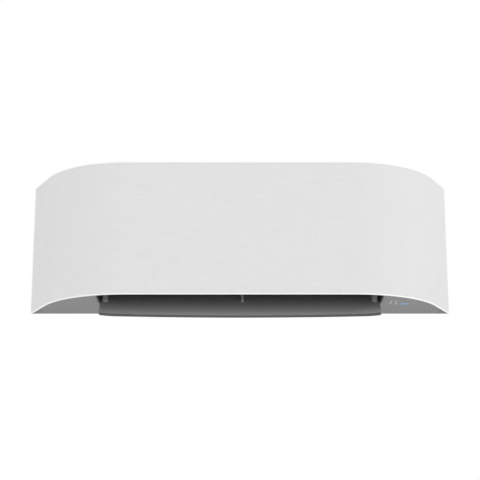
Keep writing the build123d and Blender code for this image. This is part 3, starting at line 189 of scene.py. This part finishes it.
def moulded_group():
    """Injection-moulded plastic: a fine spark-eroded grain, cloudy gloss and faint dust."""
    inputs = {
        "Color": grey(0.5),
        "Grain Scale": 900.0,
        "Grain Height": 0.00006,
        "Roughness": 0.45,
        "Cloud": 0.03,
        "Dust": 0.0,
    }
    group, given, result = new_group("moulded_plastic", inputs, surface_outputs)
    where = object_place(group)
    grain = noise(group, where, given["Grain Scale"], 3.0, 0.6)
    cloud = noise(group, where, cloud_scale, 4.0, 0.55, 0.3)
    fine = noise(group, where, dust_scale, 3.0)
    lighter = blended(group, 1.0, given["Color"], grey(1 + cloud_span), "MULTIPLY")
    darker = blended(group, 1.0, given["Color"], grey(1 - cloud_span), "MULTIPLY")
    cloudy = blended(group, ranged(group, cloud, 0.3, 0.7), darker, lighter)
    tint = blended(group, maths(group, "MULTIPLY", given["Cloud"], 4.0), given["Color"], cloudy)
    up = add(group, "ShaderNodeSeparateXYZ", Vector=add(group, "ShaderNodeNewGeometry").outputs["Normal"])
    settled = maths(group, "MULTIPLY", ranged(group, up.outputs["Z"], 0.2, 1.0), given["Dust"])
    dusty = maths(group, "MULTIPLY", settled, ranged(group, fine, 0.35, 0.65))
    join(group, result["Color"], blended(group, dusty, tint, dust_colour))
    change = ranged(group, fine, 0.3, 0.7, -0.05, 0.05)
    rough = maths(group, "ADD", given["Roughness"], change)
    join(group, result["Roughness"], maths(group, "ADD", rough, maths(group, "MULTIPLY", dusty, 0.4)))
    join(group, result["Normal"], bumped(group, grain, given["Grain Height"]))
    return group


def metal_group():
    """Rolled or drawn metal: streaks one way, faint spangle and a dull film."""
    inputs = {
        "Color": grey(0.6),
        "Film": grey(0.4),
        "Along": 6.0,
        "Across": 420.0,
        "Roughness": 0.35,
        "Film Amount": 0.25,
        "Spangle": 0.1,
    }
    group, given, result = new_group("worked_metal", inputs, surface_outputs)
    where = object_place(group)
    scale = add(
        group, "ShaderNodeCombineXYZ", X=given["Along"], Y=given["Across"], Z=given["Across"]
    ).outputs[0]
    streak = noise(group, stretched(group, where, scale), 1.0, 3.0)
    film = noise(group, where, film_scale, 5.0, 0.6, 0.5)
    cells = add(group, "ShaderNodeTexVoronoi", Vector=where, Scale=spangle_scale)
    facet = add(group, "ShaderNodeSeparateColor", Color=cells.outputs["Color"]).outputs[0]
    bright = ranged(group, facet, 0.0, 1.0, 0.75, 1.15)
    flecked = blended(group, given["Spangle"], grey(1.0), even_colour(group, bright))
    base = blended(group, 1.0, given["Color"], flecked, "MULTIPLY")
    filmed = maths(group, "MULTIPLY", ranged(group, film, 0.4, 0.75), given["Film Amount"])
    join(group, result["Color"], blended(group, filmed, base, given["Film"]))
    change = ranged(group, streak, 0.25, 0.75, -0.08, 0.1)
    rough = maths(group, "ADD", given["Roughness"], change)
    join(group, result["Roughness"], maths(group, "ADD", rough, maths(group, "MULTIPLY", filmed, 0.3)))
    join(group, result["Normal"], bumped(group, streak, streak_height))
    return group


thread_wander = 0.0005
slub_weft_scale = (16.0, 620.0, 1.0)
slub_warp_scale = (620.0, 22.0, 1.0)
fuzz_scale = 3200.0
patch_scale = 7.0
thread_light = 0.62
hump_light = 0.3


def weave_group():
    """A plain weave laid out in metres on the UV map: warp, weft, thick slubs and loose fibres."""
    inputs = {
        "Thread": grey(0.8),
        "Shadow": grey(0.6),
        "Pitch": 0.0011,
        "Slub": 0.3,
        "Roughness": 0.9,
        "Height": 0.0002,
    }
    group, given, result = new_group("plain_weave", inputs, surface_outputs)
    where = add(group, "ShaderNodeUVMap", {"uv_map": "cloth_metres"}).outputs[0]
    wander = noise(group, where, 60.0, 2.0)
    nudged = add(group, "ShaderNodeVectorMath", {"operation": "MULTIPLY_ADD"})
    shift = add(group, "ShaderNodeCombineXYZ", X=wander, Y=wander, Z=0.0)
    join(group, nudged.inputs[0], shift.outputs[0])
    join(group, nudged.inputs[1], (thread_wander, thread_wander, 0.0))
    join(group, nudged.inputs[2], where)
    across = add(group, "ShaderNodeSeparateXYZ", Vector=nudged.outputs[0])
    turns = maths(group, "DIVIDE", math.pi, given["Pitch"])
    warp = maths(group, "SINE", maths(group, "MULTIPLY", across.outputs["X"], turns))
    weft = maths(group, "SINE", maths(group, "MULTIPLY", across.outputs["Y"], turns))
    over = maths(group, "MULTIPLY", warp, weft)
    warp_hump = maths(group, "ABSOLUTE", warp)
    weft_hump = maths(group, "ABSOLUTE", weft)
    chooser = ranged(group, over, -0.15, 0.15)
    picked = add(group, "ShaderNodeMix", {"data_type": "FLOAT"}, Factor=chooser)
    join(group, picked.inputs[2], warp_hump)
    join(group, picked.inputs[3], weft_hump)
    hump = picked.outputs[0]
    thick_weft = noise(group, stretched(group, where, slub_weft_scale), 1.0, 2.0, 0.6)
    thick_warp = noise(group, stretched(group, where, slub_warp_scale), 1.0, 2.0, 0.6)
    slubs = maths(group, "ADD", thick_weft, maths(group, "MULTIPLY", thick_warp, 0.5))
    fuzz = noise(group, where, fuzz_scale, 2.0)
    patch = noise(group, where, patch_scale, 3.0)
    slub_light = maths(group, "MULTIPLY", ranged(group, slubs, 0.45, 1.05, -1.0, 1.0), given["Slub"])
    light = maths(group, "ADD", thread_light, maths(group, "MULTIPLY", hump, hump_light))
    light = maths(group, "ADD", light, slub_light)
    light = maths(group, "ADD", light, ranged(group, patch, 0.3, 0.7, -0.05, 0.05))
    light = maths(group, "ADD", light, ranged(group, fuzz, 0.3, 0.7, -0.04, 0.04))
    join(group, result["Color"], blended(group, light, given["Shadow"], given["Thread"]))
    change = ranged(group, fuzz, 0.3, 0.7, -0.05, 0.05)
    join(group, result["Roughness"], maths(group, "ADD", given["Roughness"], change))
    relief = maths(group, "ADD", hump, maths(group, "MULTIPLY", slubs, 0.8))
    relief = maths(group, "ADD", relief, maths(group, "MULTIPLY", fuzz, 0.25))
    join(group, result["Normal"], bumped(group, relief, given["Height"]))
    return group


fin_lean = 0.0007


def ruled_group():
    """Fine parallel lines across X: on the fins, painted shade in the gaps between thin fins; on the board,
    a printed grid.
    """
    inputs = {
        "Color": grey(0.7),
        "Gap": grey(0.1),
        "Pitch": 0.0014,
        "Roughness": 0.35,
        "Height": 0.0004,
    }
    group, given, result = new_group("ruled_fins", inputs, surface_outputs)
    where = object_place(group)
    place = object_axes(group)
    bent = noise(group, where, 35.0, 3.0, 0.6)
    leaning = maths(group, "ADD", place["X"], ranged(group, bent, 0.3, 0.7, 0.0, fin_lean))
    turns = maths(group, "DIVIDE", 2 * math.pi, given["Pitch"])
    wave = maths(group, "SINE", maths(group, "MULTIPLY", leaning, turns))
    line = ranged(group, wave, -0.4, 0.5)
    film = ranged(group, noise(group, where, 14.0, 4.0), 0.3, 0.75, 0.82, 1.05)
    shown = blended(group, 1.0, given["Color"], even_colour(group, film), "MULTIPLY")
    # the gap colour: painted shade between the fins, print on the board
    join(group, result["Color"], blended(group, line, given["Gap"], shown))
    change = ranged(group, bent, 0.3, 0.7, -0.05, 0.1)
    join(group, result["Roughness"], maths(group, "ADD", given["Roughness"], change))
    join(group, result["Normal"], bumped(group, line, given["Height"]))
    return group


moulded = moulded_group()
metal = metal_group()
weave = weave_group()
ruled = ruled_group()


# ---- materials ----
plastic_ior = 1.49


def surfaced(name, effect, values, shader=None):
    """A material whose colour, roughness and relief come from a shared effect."""
    made = bpy.data.materials.new(name)
    made.use_nodes = True
    tree = made.node_tree
    surface = tree.nodes["Principled BSDF"]
    used = tree.nodes.new("ShaderNodeGroup")
    used.node_tree = effect
    for label, value in values.items():
        used.inputs[label].default_value = value
    tree.links.new(used.outputs["Color"], surface.inputs["Base Color"])
    tree.links.new(used.outputs["Roughness"], surface.inputs["Roughness"])
    tree.links.new(used.outputs["Normal"], surface.inputs["Normal"])
    for label, value in (shader or {}).items():
        surface.inputs[label].default_value = value
    return made


def repainted(made, change):
    """Put a change of colour between a material's shared effect and its surface."""
    colour = made.node_tree.nodes["Principled BSDF"].inputs["Base Color"]
    join(made.node_tree, colour, change(colour.links[0].from_socket))
    return made


def plastic(name, color, rough=0.45, grain=0.00005, cloud=0.02, dust=0.0, grain_scale=900.0, **shader):
    values = {
        "Color": color,
        "Roughness": rough,
        "Grain Height": grain,
        "Grain Scale": grain_scale,
        "Cloud": cloud,
        "Dust": dust,
    }
    return surfaced(name, moulded, values, {"IOR": plastic_ior, **shader})


def worked(name, color, film, rough=0.35, film_amount=0.25, spangle=0.1, along=6.0, across=420.0):
    values = {
        "Color": color,
        "Film": film,
        "Roughness": rough,
        "Film Amount": film_amount,
        "Spangle": spangle,
        "Along": along,
        "Across": across,
    }
    return surfaced(name, metal, values, {"Metallic": 1.0})


rim_white = plastic("rim_white", grey(0.9), 0.38, 0.00002, 0.01, 0.1)
duct_dark = plastic("duct_dark", grey(0.085), 0.55, 0.00006, 0.04, 0.06)
vane_dark = plastic("vane_dark", grey(0.06), 0.5, 0.00005, 0.04, 0.08)
casing_grey = plastic("casing_grey", grey(0.56, 0.01), 0.55, 0.0001, 0.05, 0.12, 520.0)
frame_grey = plastic("frame_grey", grey(0.6, 0.005), 0.5, 0.00008, 0.04, 0.1, 620.0)
grille_grey = plastic("grille_grey", grey(0.62, 0.005), 0.5, 0.00008, 0.04, 0.2, 620.0)
pan_white = plastic("pan_white", grey(0.62, 0.02), 0.5, 0.0001, 0.05)
hose_grey = plastic("hose_grey", grey(0.4, 0.03), 0.6, 0.0002, 0.06, 0.1, 300.0)
seal_rubber = plastic("seal_rubber", grey(0.03), 0.75, 0.0001, 0.08, 0.1)
impeller_black = plastic("impeller_black", grey(0.035), 0.5, 0.00005, 0.05, 0.15)
button_white = plastic("button_white", grey(0.78), 0.35, 0.00002, 0.02)
part_black = plastic("part_black", grey(0.03), 0.4, 0.00003, 0.05)
terminal_cream = plastic("terminal_cream", grey(0.5, 0.06), 0.4, 0.00003, 0.04)
filter_frame = plastic("filter_frame", grey(0.1, -0.03), 0.5, 0.00006, 0.05, 0.15)
clip_grey = plastic("clip_grey", grey(0.45), 0.5, 0.00008, 0.05)
motor_paint = plastic("motor_paint", grey(0.5), 0.35, 0.00003, 0.04, 0.1)

zinc_sheet = worked("zinc_sheet", grey(0.62, -0.01), grey(0.42), 0.34, 0.35, 0.5, 30.0, 60.0)
plate_steel = worked("plate_steel", grey(0.6), grey(0.4), 0.36, 0.3, 0.4, 60.0, 30.0)
copper_tube = worked("copper_tube", (0.82, 0.43, 0.28, 1.0), (0.34, 0.17, 0.1, 1.0), 0.3, 0.5, 0.05)
turned_brass = worked(
    "turned_brass", (0.78, 0.6, 0.27, 1.0), (0.4, 0.29, 0.12, 1.0), 0.28, 0.3, 0.0, 900.0, 20.0
)
screw_steel = worked("screw_steel", grey(0.62), grey(0.4), 0.32, 0.25, 0.0)
# The fins' near-black gap colour is painted shade in the narrow gaps between the fins.
fin_metal = surfaced("fin_metal", ruled, {"Color": grey(0.72, -0.03), "Gap": grey(0.06)}, {"Metallic": 1.0})
board_green = surfaced(
    "board_green",
    ruled,
    {"Color": (0.02, 0.13, 0.06, 1.0), "Gap": (0.03, 0.2, 0.09, 1.0), "Pitch": 0.005, "Height": 0.00005},
)
cover_cloth = surfaced(
    "cover_cloth",
    weave,
    {"Thread": grey(0.8, -0.009), "Shadow": grey(0.7, -0.009)},
    {"Sheen Weight": 0.15, "Sheen Roughness": 0.5, "Specular IOR Level": 0.25},
)


# ---- base trims ----
corner_radius = 0.2164
corner_middle = (0.2551, 0.0064)
# Painted shadow line along the trims' front edge, next to the rim: its band in from the outline and its
# darkness.
rim_shadow_band = (0.0035, 0.009)
edge_shade = 0.76
# Painted shade, darker towards the wall: the depths it spans and its levels.
wall_shade_reach = (-0.21, -0.01)
wall_shades = (1.03, 0.87)


def trim_plastic():
    """Trim plastic with painted shade: a little darker towards the wall, and a painted shadow line along
    its front edge where it meets the rim.
    """
    made = plastic("trim_grey", grey(0.203, -0.04), 0.5, 0.00008, 0.03)
    tree = made.node_tree
    place = object_axes(tree)
    side = maths(tree, "SUBTRACT", maths(tree, "ABSOLUTE", place["X"]), corner_middle[0])
    out = maths(tree, "POWER", maths(tree, "MAXIMUM", side, 0.0), 2.0)
    ahead = maths(tree, "POWER", maths(tree, "SUBTRACT", place["Y"], corner_middle[1]), 2.0)
    inside = maths(tree, "SUBTRACT", corner_radius, maths(tree, "SQRT", maths(tree, "ADD", out, ahead)))
    # painted shadow line along the front edge, next to the rim
    rim_shadow = ranged(tree, inside, *rim_shadow_band, edge_shade, 1.0)
    # painted shade, darker towards the wall
    painted_wall_shade = ranged(tree, place["Y"], *wall_shade_reach, *wall_shades)
    shade = even_colour(tree, maths(tree, "MULTIPLY", rim_shadow, painted_wall_shade))
    return repainted(made, lambda skin: blended(tree, 1.0, skin, shade, "MULTIPLY"))


trim_grey = trim_plastic()


# ---- flap ----
flap_pivot = (0.122, -0.12595)
flap_open = math.radians(40.0)
flap_tip = 0.203
flap_bow_radius = 5.4
flap_end_start = 0.2765
flap_end_radius = 0.17
# Painted shade along the flap's tip edge: the band's width and blur, and its dark grey below.
tip_shade_width = 0.0016
tip_shade_blur = 0.0003
# Painted shade on the flap's arms: their height range above the skin, and their darker grey.
arm_shade_rise = (-0.018, -0.014)
arm_shade_grey = grey(0.21, -0.015)
tip_shade_grey = grey(0.085, -0.01)


def flap_painted_shade_group():
    """Painted shade on the flap: darker arms and a dark band along its tip, both measured from its pivot
    with the flap as it stands open.
    """
    inputs = {"Color": grey(0.4), "Arm": grey(0.2), "Tip": grey(0.1)}
    group, given, result = new_group("flap_painted_shade", inputs, {"Color": "Color"})
    place = object_axes(group)
    forward = maths(group, "SUBTRACT", maths(group, "MULTIPLY", place["Y"], -1.0), flap_pivot[0])
    down = maths(group, "SUBTRACT", flap_pivot[1], place["Z"])
    along = maths(
        group,
        "ADD",
        maths(group, "MULTIPLY", forward, math.cos(flap_open)),
        maths(group, "MULTIPLY", down, math.sin(flap_open)),
    )
    side = maths(group, "ABSOLUTE", place["X"])
    bow = maths(group, "MULTIPLY", maths(group, "POWER", side, 2.0), 0.5 / flap_bow_radius)
    past = maths(group, "MAXIMUM", maths(group, "SUBTRACT", side, flap_end_start), 0.0)
    turned = maths(group, "MULTIPLY", maths(group, "POWER", past, 2.0), 0.5 / flap_end_radius)
    reach = maths(group, "ADD", maths(group, "ADD", along, bow), turned)
    edge = flap_tip - flap_pivot[0] - tip_shade_width
    # painted shade along the tip edge
    tip_shade = ranged(group, reach, edge - tip_shade_blur, edge)
    above = maths(
        group,
        "SUBTRACT",
        maths(group, "MULTIPLY", forward, math.sin(flap_open)),
        maths(group, "MULTIPLY", down, math.cos(flap_open)),
    )
    # painted shade on the arms, which stand above the flap's skin
    arm_shaded = blended(group, ranged(group, above, *arm_shade_rise), given["Color"], given["Arm"])
    join(group, result["Color"], blended(group, tip_shade, arm_shaded, given["Tip"]))
    return group


flap_painted_shade = flap_painted_shade_group()


def flap_plastic(name, color):
    """Flap plastic with the flap's painted shade over it."""
    made = plastic(name, color, 0.48, 0.00006, 0.03, 0.06)
    shade_paint = made.node_tree.nodes.new("ShaderNodeGroup")
    shade_paint.node_tree = flap_painted_shade
    # the painted shade colours of the arms and of the tip band
    shade_paint.inputs["Arm"].default_value = arm_shade_grey
    shade_paint.inputs["Tip"].default_value = tip_shade_grey

    def shade_painted(skin):
        join(made.node_tree, shade_paint.inputs["Color"], skin)
        return shade_paint.outputs["Color"]

    return repainted(made, shade_painted)


flap_grey = flap_plastic("flap_grey", grey(0.388, -0.035))
flap_under = flap_plastic("flap_under", grey(0.2, -0.04))


# ---- lamp lenses ----
dot_strength = 0.85
power_strength = 0.25
power_colours = ((0.01, 0.1, 0.3, 1.0), (0.06, 0.45, 1.0, 1.0))
spot_share = 0.22
spot_reach = (0.0015, 0.0065)


def lit(made, colour, strength):
    """Let a material glow in a colour."""
    surface = made.node_tree.nodes["Principled BSDF"]
    join(made.node_tree, surface.inputs["Emission Color"], colour)
    surface.inputs["Emission Strength"].default_value = strength
    return made


def lit_dots():
    """The small white lenses, each with a weak lamp behind it."""
    made = plastic("lens_pearl", grey(0.8, 0.02), 0.28, 0.00001, 0.02)
    tree = made.node_tree
    glow = ranged(tree, noise(tree, object_place(tree), 420.0), 0.3, 0.7, 0.75, 1.0)
    return lit(made, blended(tree, glow, grey(0.6), grey(1.0)), dot_strength)


def lit_lens():
    """The blue power lens: two bright spots behind one long round lens."""
    made = plastic("lens_blue", (0.03, 0.16, 0.36, 1.0), 0.25, 0.00001, 0.02)
    tree = made.node_tree
    low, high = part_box("power_lens")
    middle = (Vector(low) + Vector(high)) / 2
    where = object_place(tree)
    spots = []
    for way in (-1, 1):
        spot_place = (middle.x + way * (high[0] - low[0]) * spot_share, middle.y, low[2])
        reach = add(tree, "ShaderNodeVectorMath", {"operation": "DISTANCE"})
        join(tree, reach.inputs[0], where)
        join(tree, reach.inputs[1], spot_place)
        spots.append(ranged(tree, reach.outputs["Value"], *spot_reach, 1.0, 0.0))
    return lit(made, blended(tree, maths(tree, "MAXIMUM", *spots), *power_colours), power_strength)


lens_pearl = lit_dots()
lens_blue = lit_lens()


# ---- materials of the CAD nodes ----
node_materials = {
    rim_white: ["front_panel"],
    trim_grey: ["base_trim_left", "base_trim_right", "base_rear_cover"],
    flap_grey: ["flap_inner"],
    flap_under: ["flap_outer"],
    duct_dark: ["outlet_duct"],
    vane_dark: ["vane_link_left", "vane_link_right"]
    + [f"vane_{bank}_{i}" for bank in ("left", "right") for i in range(1, 6)],
    casing_grey: ["rear_casing", "control_box"],
    frame_grey: ["front_frame", "filter_rails"],
    grille_grey: ["top_grille"],
    pan_white: ["drain_pan"],
    hose_grey: ["drain_hose"],
    seal_rubber: ["drain_plug", "fan_bearing"],
    impeller_black: ["fan_impeller"],
    button_white: ["test_button"],
    lens_pearl: ["indicator_lenses"],
    part_black: ["board_components", "test_switch", "thermistors"],
    terminal_cream: ["terminal_block"],
    filter_frame: ["filter_left", "filter_right"],
    clip_grey: ["pipe_clamp"],
    motor_paint: ["fan_motor", "vane_motors", "flap_motor"],
    zinc_sheet: ["coil_plates", "motor_clamp", "control_lid"],
    plate_steel: ["wall_plate"],
    copper_tube: ["coil_tubes", "gas_pipe", "liquid_pipe"],
    turned_brass: ["gas_union", "liquid_union"],
    screw_steel: ["screws", "fan_pin", "motor_shaft"],
    fin_metal: ["coil_fins_front", "coil_fins_upper", "coil_fins_rear"],
    board_green: ["control_board", "display_board"],
    lens_blue: ["power_lens"],
}
for material, names in node_materials.items():
    for name in names:
        slots = frame["nodes"][name].data.materials
        if not len(slots):
            slots.append(material)
        for index in range(len(slots)):
            slots[index] = material


# ---- woven cover ----
side_turn = math.radians(63.6)
cloth_recess = 0.00025
cloth_tuck = 0.0008
tuck_reach = 0.0016
tuck_steps = (0, 0.08, 0.2, 0.4, 0.7, 1)
cloth_gap = 0.0001
cloth_step_x = 0.006
cloth_rows = 56


def panel_outline():
    """The panel's outline seen from above: its half flat, arc and side lengths."""
    low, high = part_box("front_panel")
    depth = high[1] - low[1]
    half_width = (high[0] - low[0]) / 2
    side = (depth - corner_radius * (1 - math.cos(side_turn))) / math.sin(side_turn)
    flat = half_width - corner_radius * math.sin(side_turn) - side * math.cos(side_turn)
    return flat, corner_radius * side_turn, side, low[1]


flat, arc, side, front = panel_outline()


def outline_point(run, inset):
    """The point at a run from the middle of the panel's front, moved in by inset."""
    way = 1 if run >= 0 else -1
    left = abs(run)
    turn = min(max(left - flat, 0) / corner_radius, side_turn)
    past = max(left - flat - arc, 0)
    x = min(left, flat) + (corner_radius - inset) * math.sin(turn) + past * math.cos(turn)
    y = front + inset + (corner_radius - inset) * (1 - math.cos(turn)) + past * math.sin(turn)
    return way * x, y


def tuck(distance):
    """How far the cloth sinks at a distance from its edge, as it rolls into the rim's groove."""
    share = min(max(distance / tuck_reach, 0), 1)
    return cloth_tuck * (1 - math.sqrt(1 - (1 - share) ** 2))


def graded(low, high, count):
    """Values from low to high, close together at both ends so that the edge can roll."""
    near = [tuck_reach * step for step in tuck_steps]
    middle = [
        low + tuck_reach + (high - low - 2 * tuck_reach) * i / count for i in range(1, count)
    ]
    return [low + n for n in near] + middle + [high - n for n in reversed(near)]


def woven_cover():
    """The cloth stretched over the panel, its edge rolled into the rim."""
    panel_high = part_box("front_panel")[1]
    low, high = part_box("panel_cover")
    end = flat + arc + side - (panel_high[1] - high[1]) / math.sin(side_turn) - cloth_gap
    runs = graded(-end, end, int(2 * end / cloth_step_x))
    heights = graded(low[2] + cloth_gap, high[2] - cloth_gap, cloth_rows)
    vertices, faces, places = [], [], []
    for z in heights:
        for run in runs:
            edge = min(end - abs(run), z - heights[0], heights[-1] - z)
            x, y = outline_point(run, cloth_recess + tuck(edge))
            vertices.append((x, y, z))
            places.append((run, z))
    across = len(runs)
    for row in range(len(heights) - 1):
        for column in range(across - 1):
            corner = row * across + column
            faces.append((corner, corner + 1, corner + across + 1, corner + across))
    mesh = bpy.data.meshes.new("woven_cover")
    mesh.from_pydata(vertices, [], faces)
    layer = mesh.uv_layers.new(name="cloth_metres")
    for loop in mesh.loops:
        layer.data[loop.index].uv = places[loop.vertex_index]
    mesh.polygons.foreach_set("use_smooth", [True] * len(mesh.polygons))
    mesh.materials.append(cover_cloth)
    made = bpy.data.objects.new("woven_cover", mesh)
    bpy.context.collection.objects.link(made)
    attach(made, "panel")
    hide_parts("panel_cover")


woven_cover()


# ---- ribs and seal of the casing ----
casing_back = 0.003
rib_proud = 0.0018
rib_width = 0.0016
rib_ends = (0.246, 0.454)
rib_rows = (-0.09, 0.126)
rib_counts = (6, 6)
rib_softness = 0.0004
seal_half = 0.316
seal_depths = (0.084, 0.0886)
seal_ups = (-0.1511, -0.1478)
bar_faces = ((0, 1, 3, 2), (4, 6, 7, 5), (0, 4, 5, 1), (2, 3, 7, 6), (0, 2, 6, 4), (1, 5, 7, 3))


def bar_mesh(mesh, low, high):
    """Add a box between two corners to a mesh that is being made."""
    corners = [
        mesh.verts.new((x, y, z))
        for x in (low[0], high[0])
        for y in (low[1], high[1])
        for z in (low[2], high[2])
    ]
    for face in bar_faces:
        mesh.faces.new([corners[i] for i in face])


def bar_piece(name, bars, material, softness):
    """One piece made of bars with soft edges, which rides on the unit."""
    shape = bmesh.new()
    for low, high in bars:
        bar_mesh(shape, low, high)
    mesh = bpy.data.meshes.new(name)
    shape.to_mesh(mesh)
    shape.free()
    mesh.materials.append(material)
    made = bpy.data.objects.new(name, mesh)
    bpy.context.collection.objects.link(made)
    bevel = made.modifiers.new("soft_edges", "BEVEL")
    bevel.width = softness
    bevel.segments = 2
    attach(made, "unit")
    return made


def spread(ends, count):
    """Places spaced evenly from one end to the other."""
    return [ends[0] + (ends[1] - ends[0]) * i / (count - 1) for i in range(count)]


def casing_ribs():
    """The lattice of moulded ribs on the casing's back, at both sides of the wall plate."""
    half = rib_width / 2
    deep = (-casing_back - rib_softness, rib_proud - casing_back)
    bars = []
    for way in (-1, 1):
        ends = sorted(way * end for end in rib_ends)
        for x in spread(ends, rib_counts[0]):
            bars.append(((x - half, deep[0], rib_rows[0]), (x + half, deep[1], rib_rows[1])))
        for z in spread(rib_rows, rib_counts[1]):
            bars.append(((ends[0], deep[0], z - half), (ends[1], deep[1], z + half)))
    made = bar_piece("casing_ribs", bars, casing_grey, rib_softness)


def channel_seal():
    """The soft strip between the casing's outlet edge and the rear cover."""
    low = (-seal_half, -seal_depths[1], seal_ups[0])
    high = (seal_half, -seal_depths[0], seal_ups[1])
    made = bar_piece("channel_seal", [(low, high)], seal_rubber, rib_softness)


casing_ribs()
channel_seal()


# ---- floor, world and lamps ----
floor_height = -2.1
floor_size = 14.0
world_light = 0.93


def floor():
    """A pale floor, clear when it is seen from below."""
    half = floor_size / 2
    mesh = bpy.data.meshes.new("floor")
    corners = [(-half, -half), (half, -half), (half, half), (-half, half)]
    mesh.from_pydata([(x, y, floor_height) for x, y in corners], [], [(0, 1, 2, 3)])
    made = bpy.data.objects.new("floor", mesh)
    bpy.context.collection.objects.link(made)
    material = bpy.data.materials.new("floor")
    material.use_nodes = True
    tree = material.node_tree
    surface = tree.nodes["Principled BSDF"]
    surface.inputs["Base Color"].default_value = grey(0.82)
    surface.inputs["Roughness"].default_value = 0.9
    under = add(tree, "ShaderNodeNewGeometry").outputs["Backfacing"]
    clear = add(tree, "ShaderNodeBsdfTransparent").outputs[0]
    mix = tree.nodes.new("ShaderNodeMixShader")
    join(tree, mix.inputs[0], under)
    tree.links.new(surface.outputs[0], mix.inputs[1])
    tree.links.new(clear, mix.inputs[2])
    tree.links.new(mix.outputs[0], tree.nodes["Material Output"].inputs["Surface"])
    mesh.materials.append(material)


def world():
    """White where it is seen directly or in a reflection, and a softer grey as light."""
    made = bpy.data.worlds.new("studio")
    bpy.context.scene.world = made
    made.use_nodes = True
    tree = made.node_tree
    background = tree.nodes["Background"]
    path = add(tree, "ShaderNodeLightPath").outputs
    seen = maths(tree, "MAXIMUM", path["Is Camera Ray"], path["Is Glossy Ray"])
    seen = maths(tree, "MAXIMUM", seen, path["Is Transmission Ray"])
    background.inputs["Color"].default_value = grey(1.0)
    join(tree, background.inputs["Strength"], ranged(tree, seen, 0.0, 1.0, world_light, 1.0))


def lamp(name, place, size, power, target=(0.0, -0.1, 0.0)):
    data = bpy.data.lights.new(name, "AREA")
    data.shape = "RECTANGLE"
    data.size, data.size_y = size
    data.energy = power
    made = bpy.data.objects.new(name, data)
    made.location = place
    made.rotation_euler = (Vector(target) - Vector(place)).to_track_quat("-Z", "Y").to_euler()
    made.visible_camera = False
    bpy.context.collection.objects.link(made)


floor()
world()
lamp("key", (3.2, -2.0, 1.4), (2.6, 2.0), 26.0)
lamp("fill", (-2.6, -2.6, 0.4), (2.4, 2.4), 6.0)
lamp("low_fill", (0.0, -2.6, -1.9), (3.0, 1.4), 8.0)
lamp("rear", (0.6, 3.0, 1.4), (2.6, 2.0), 16.0)
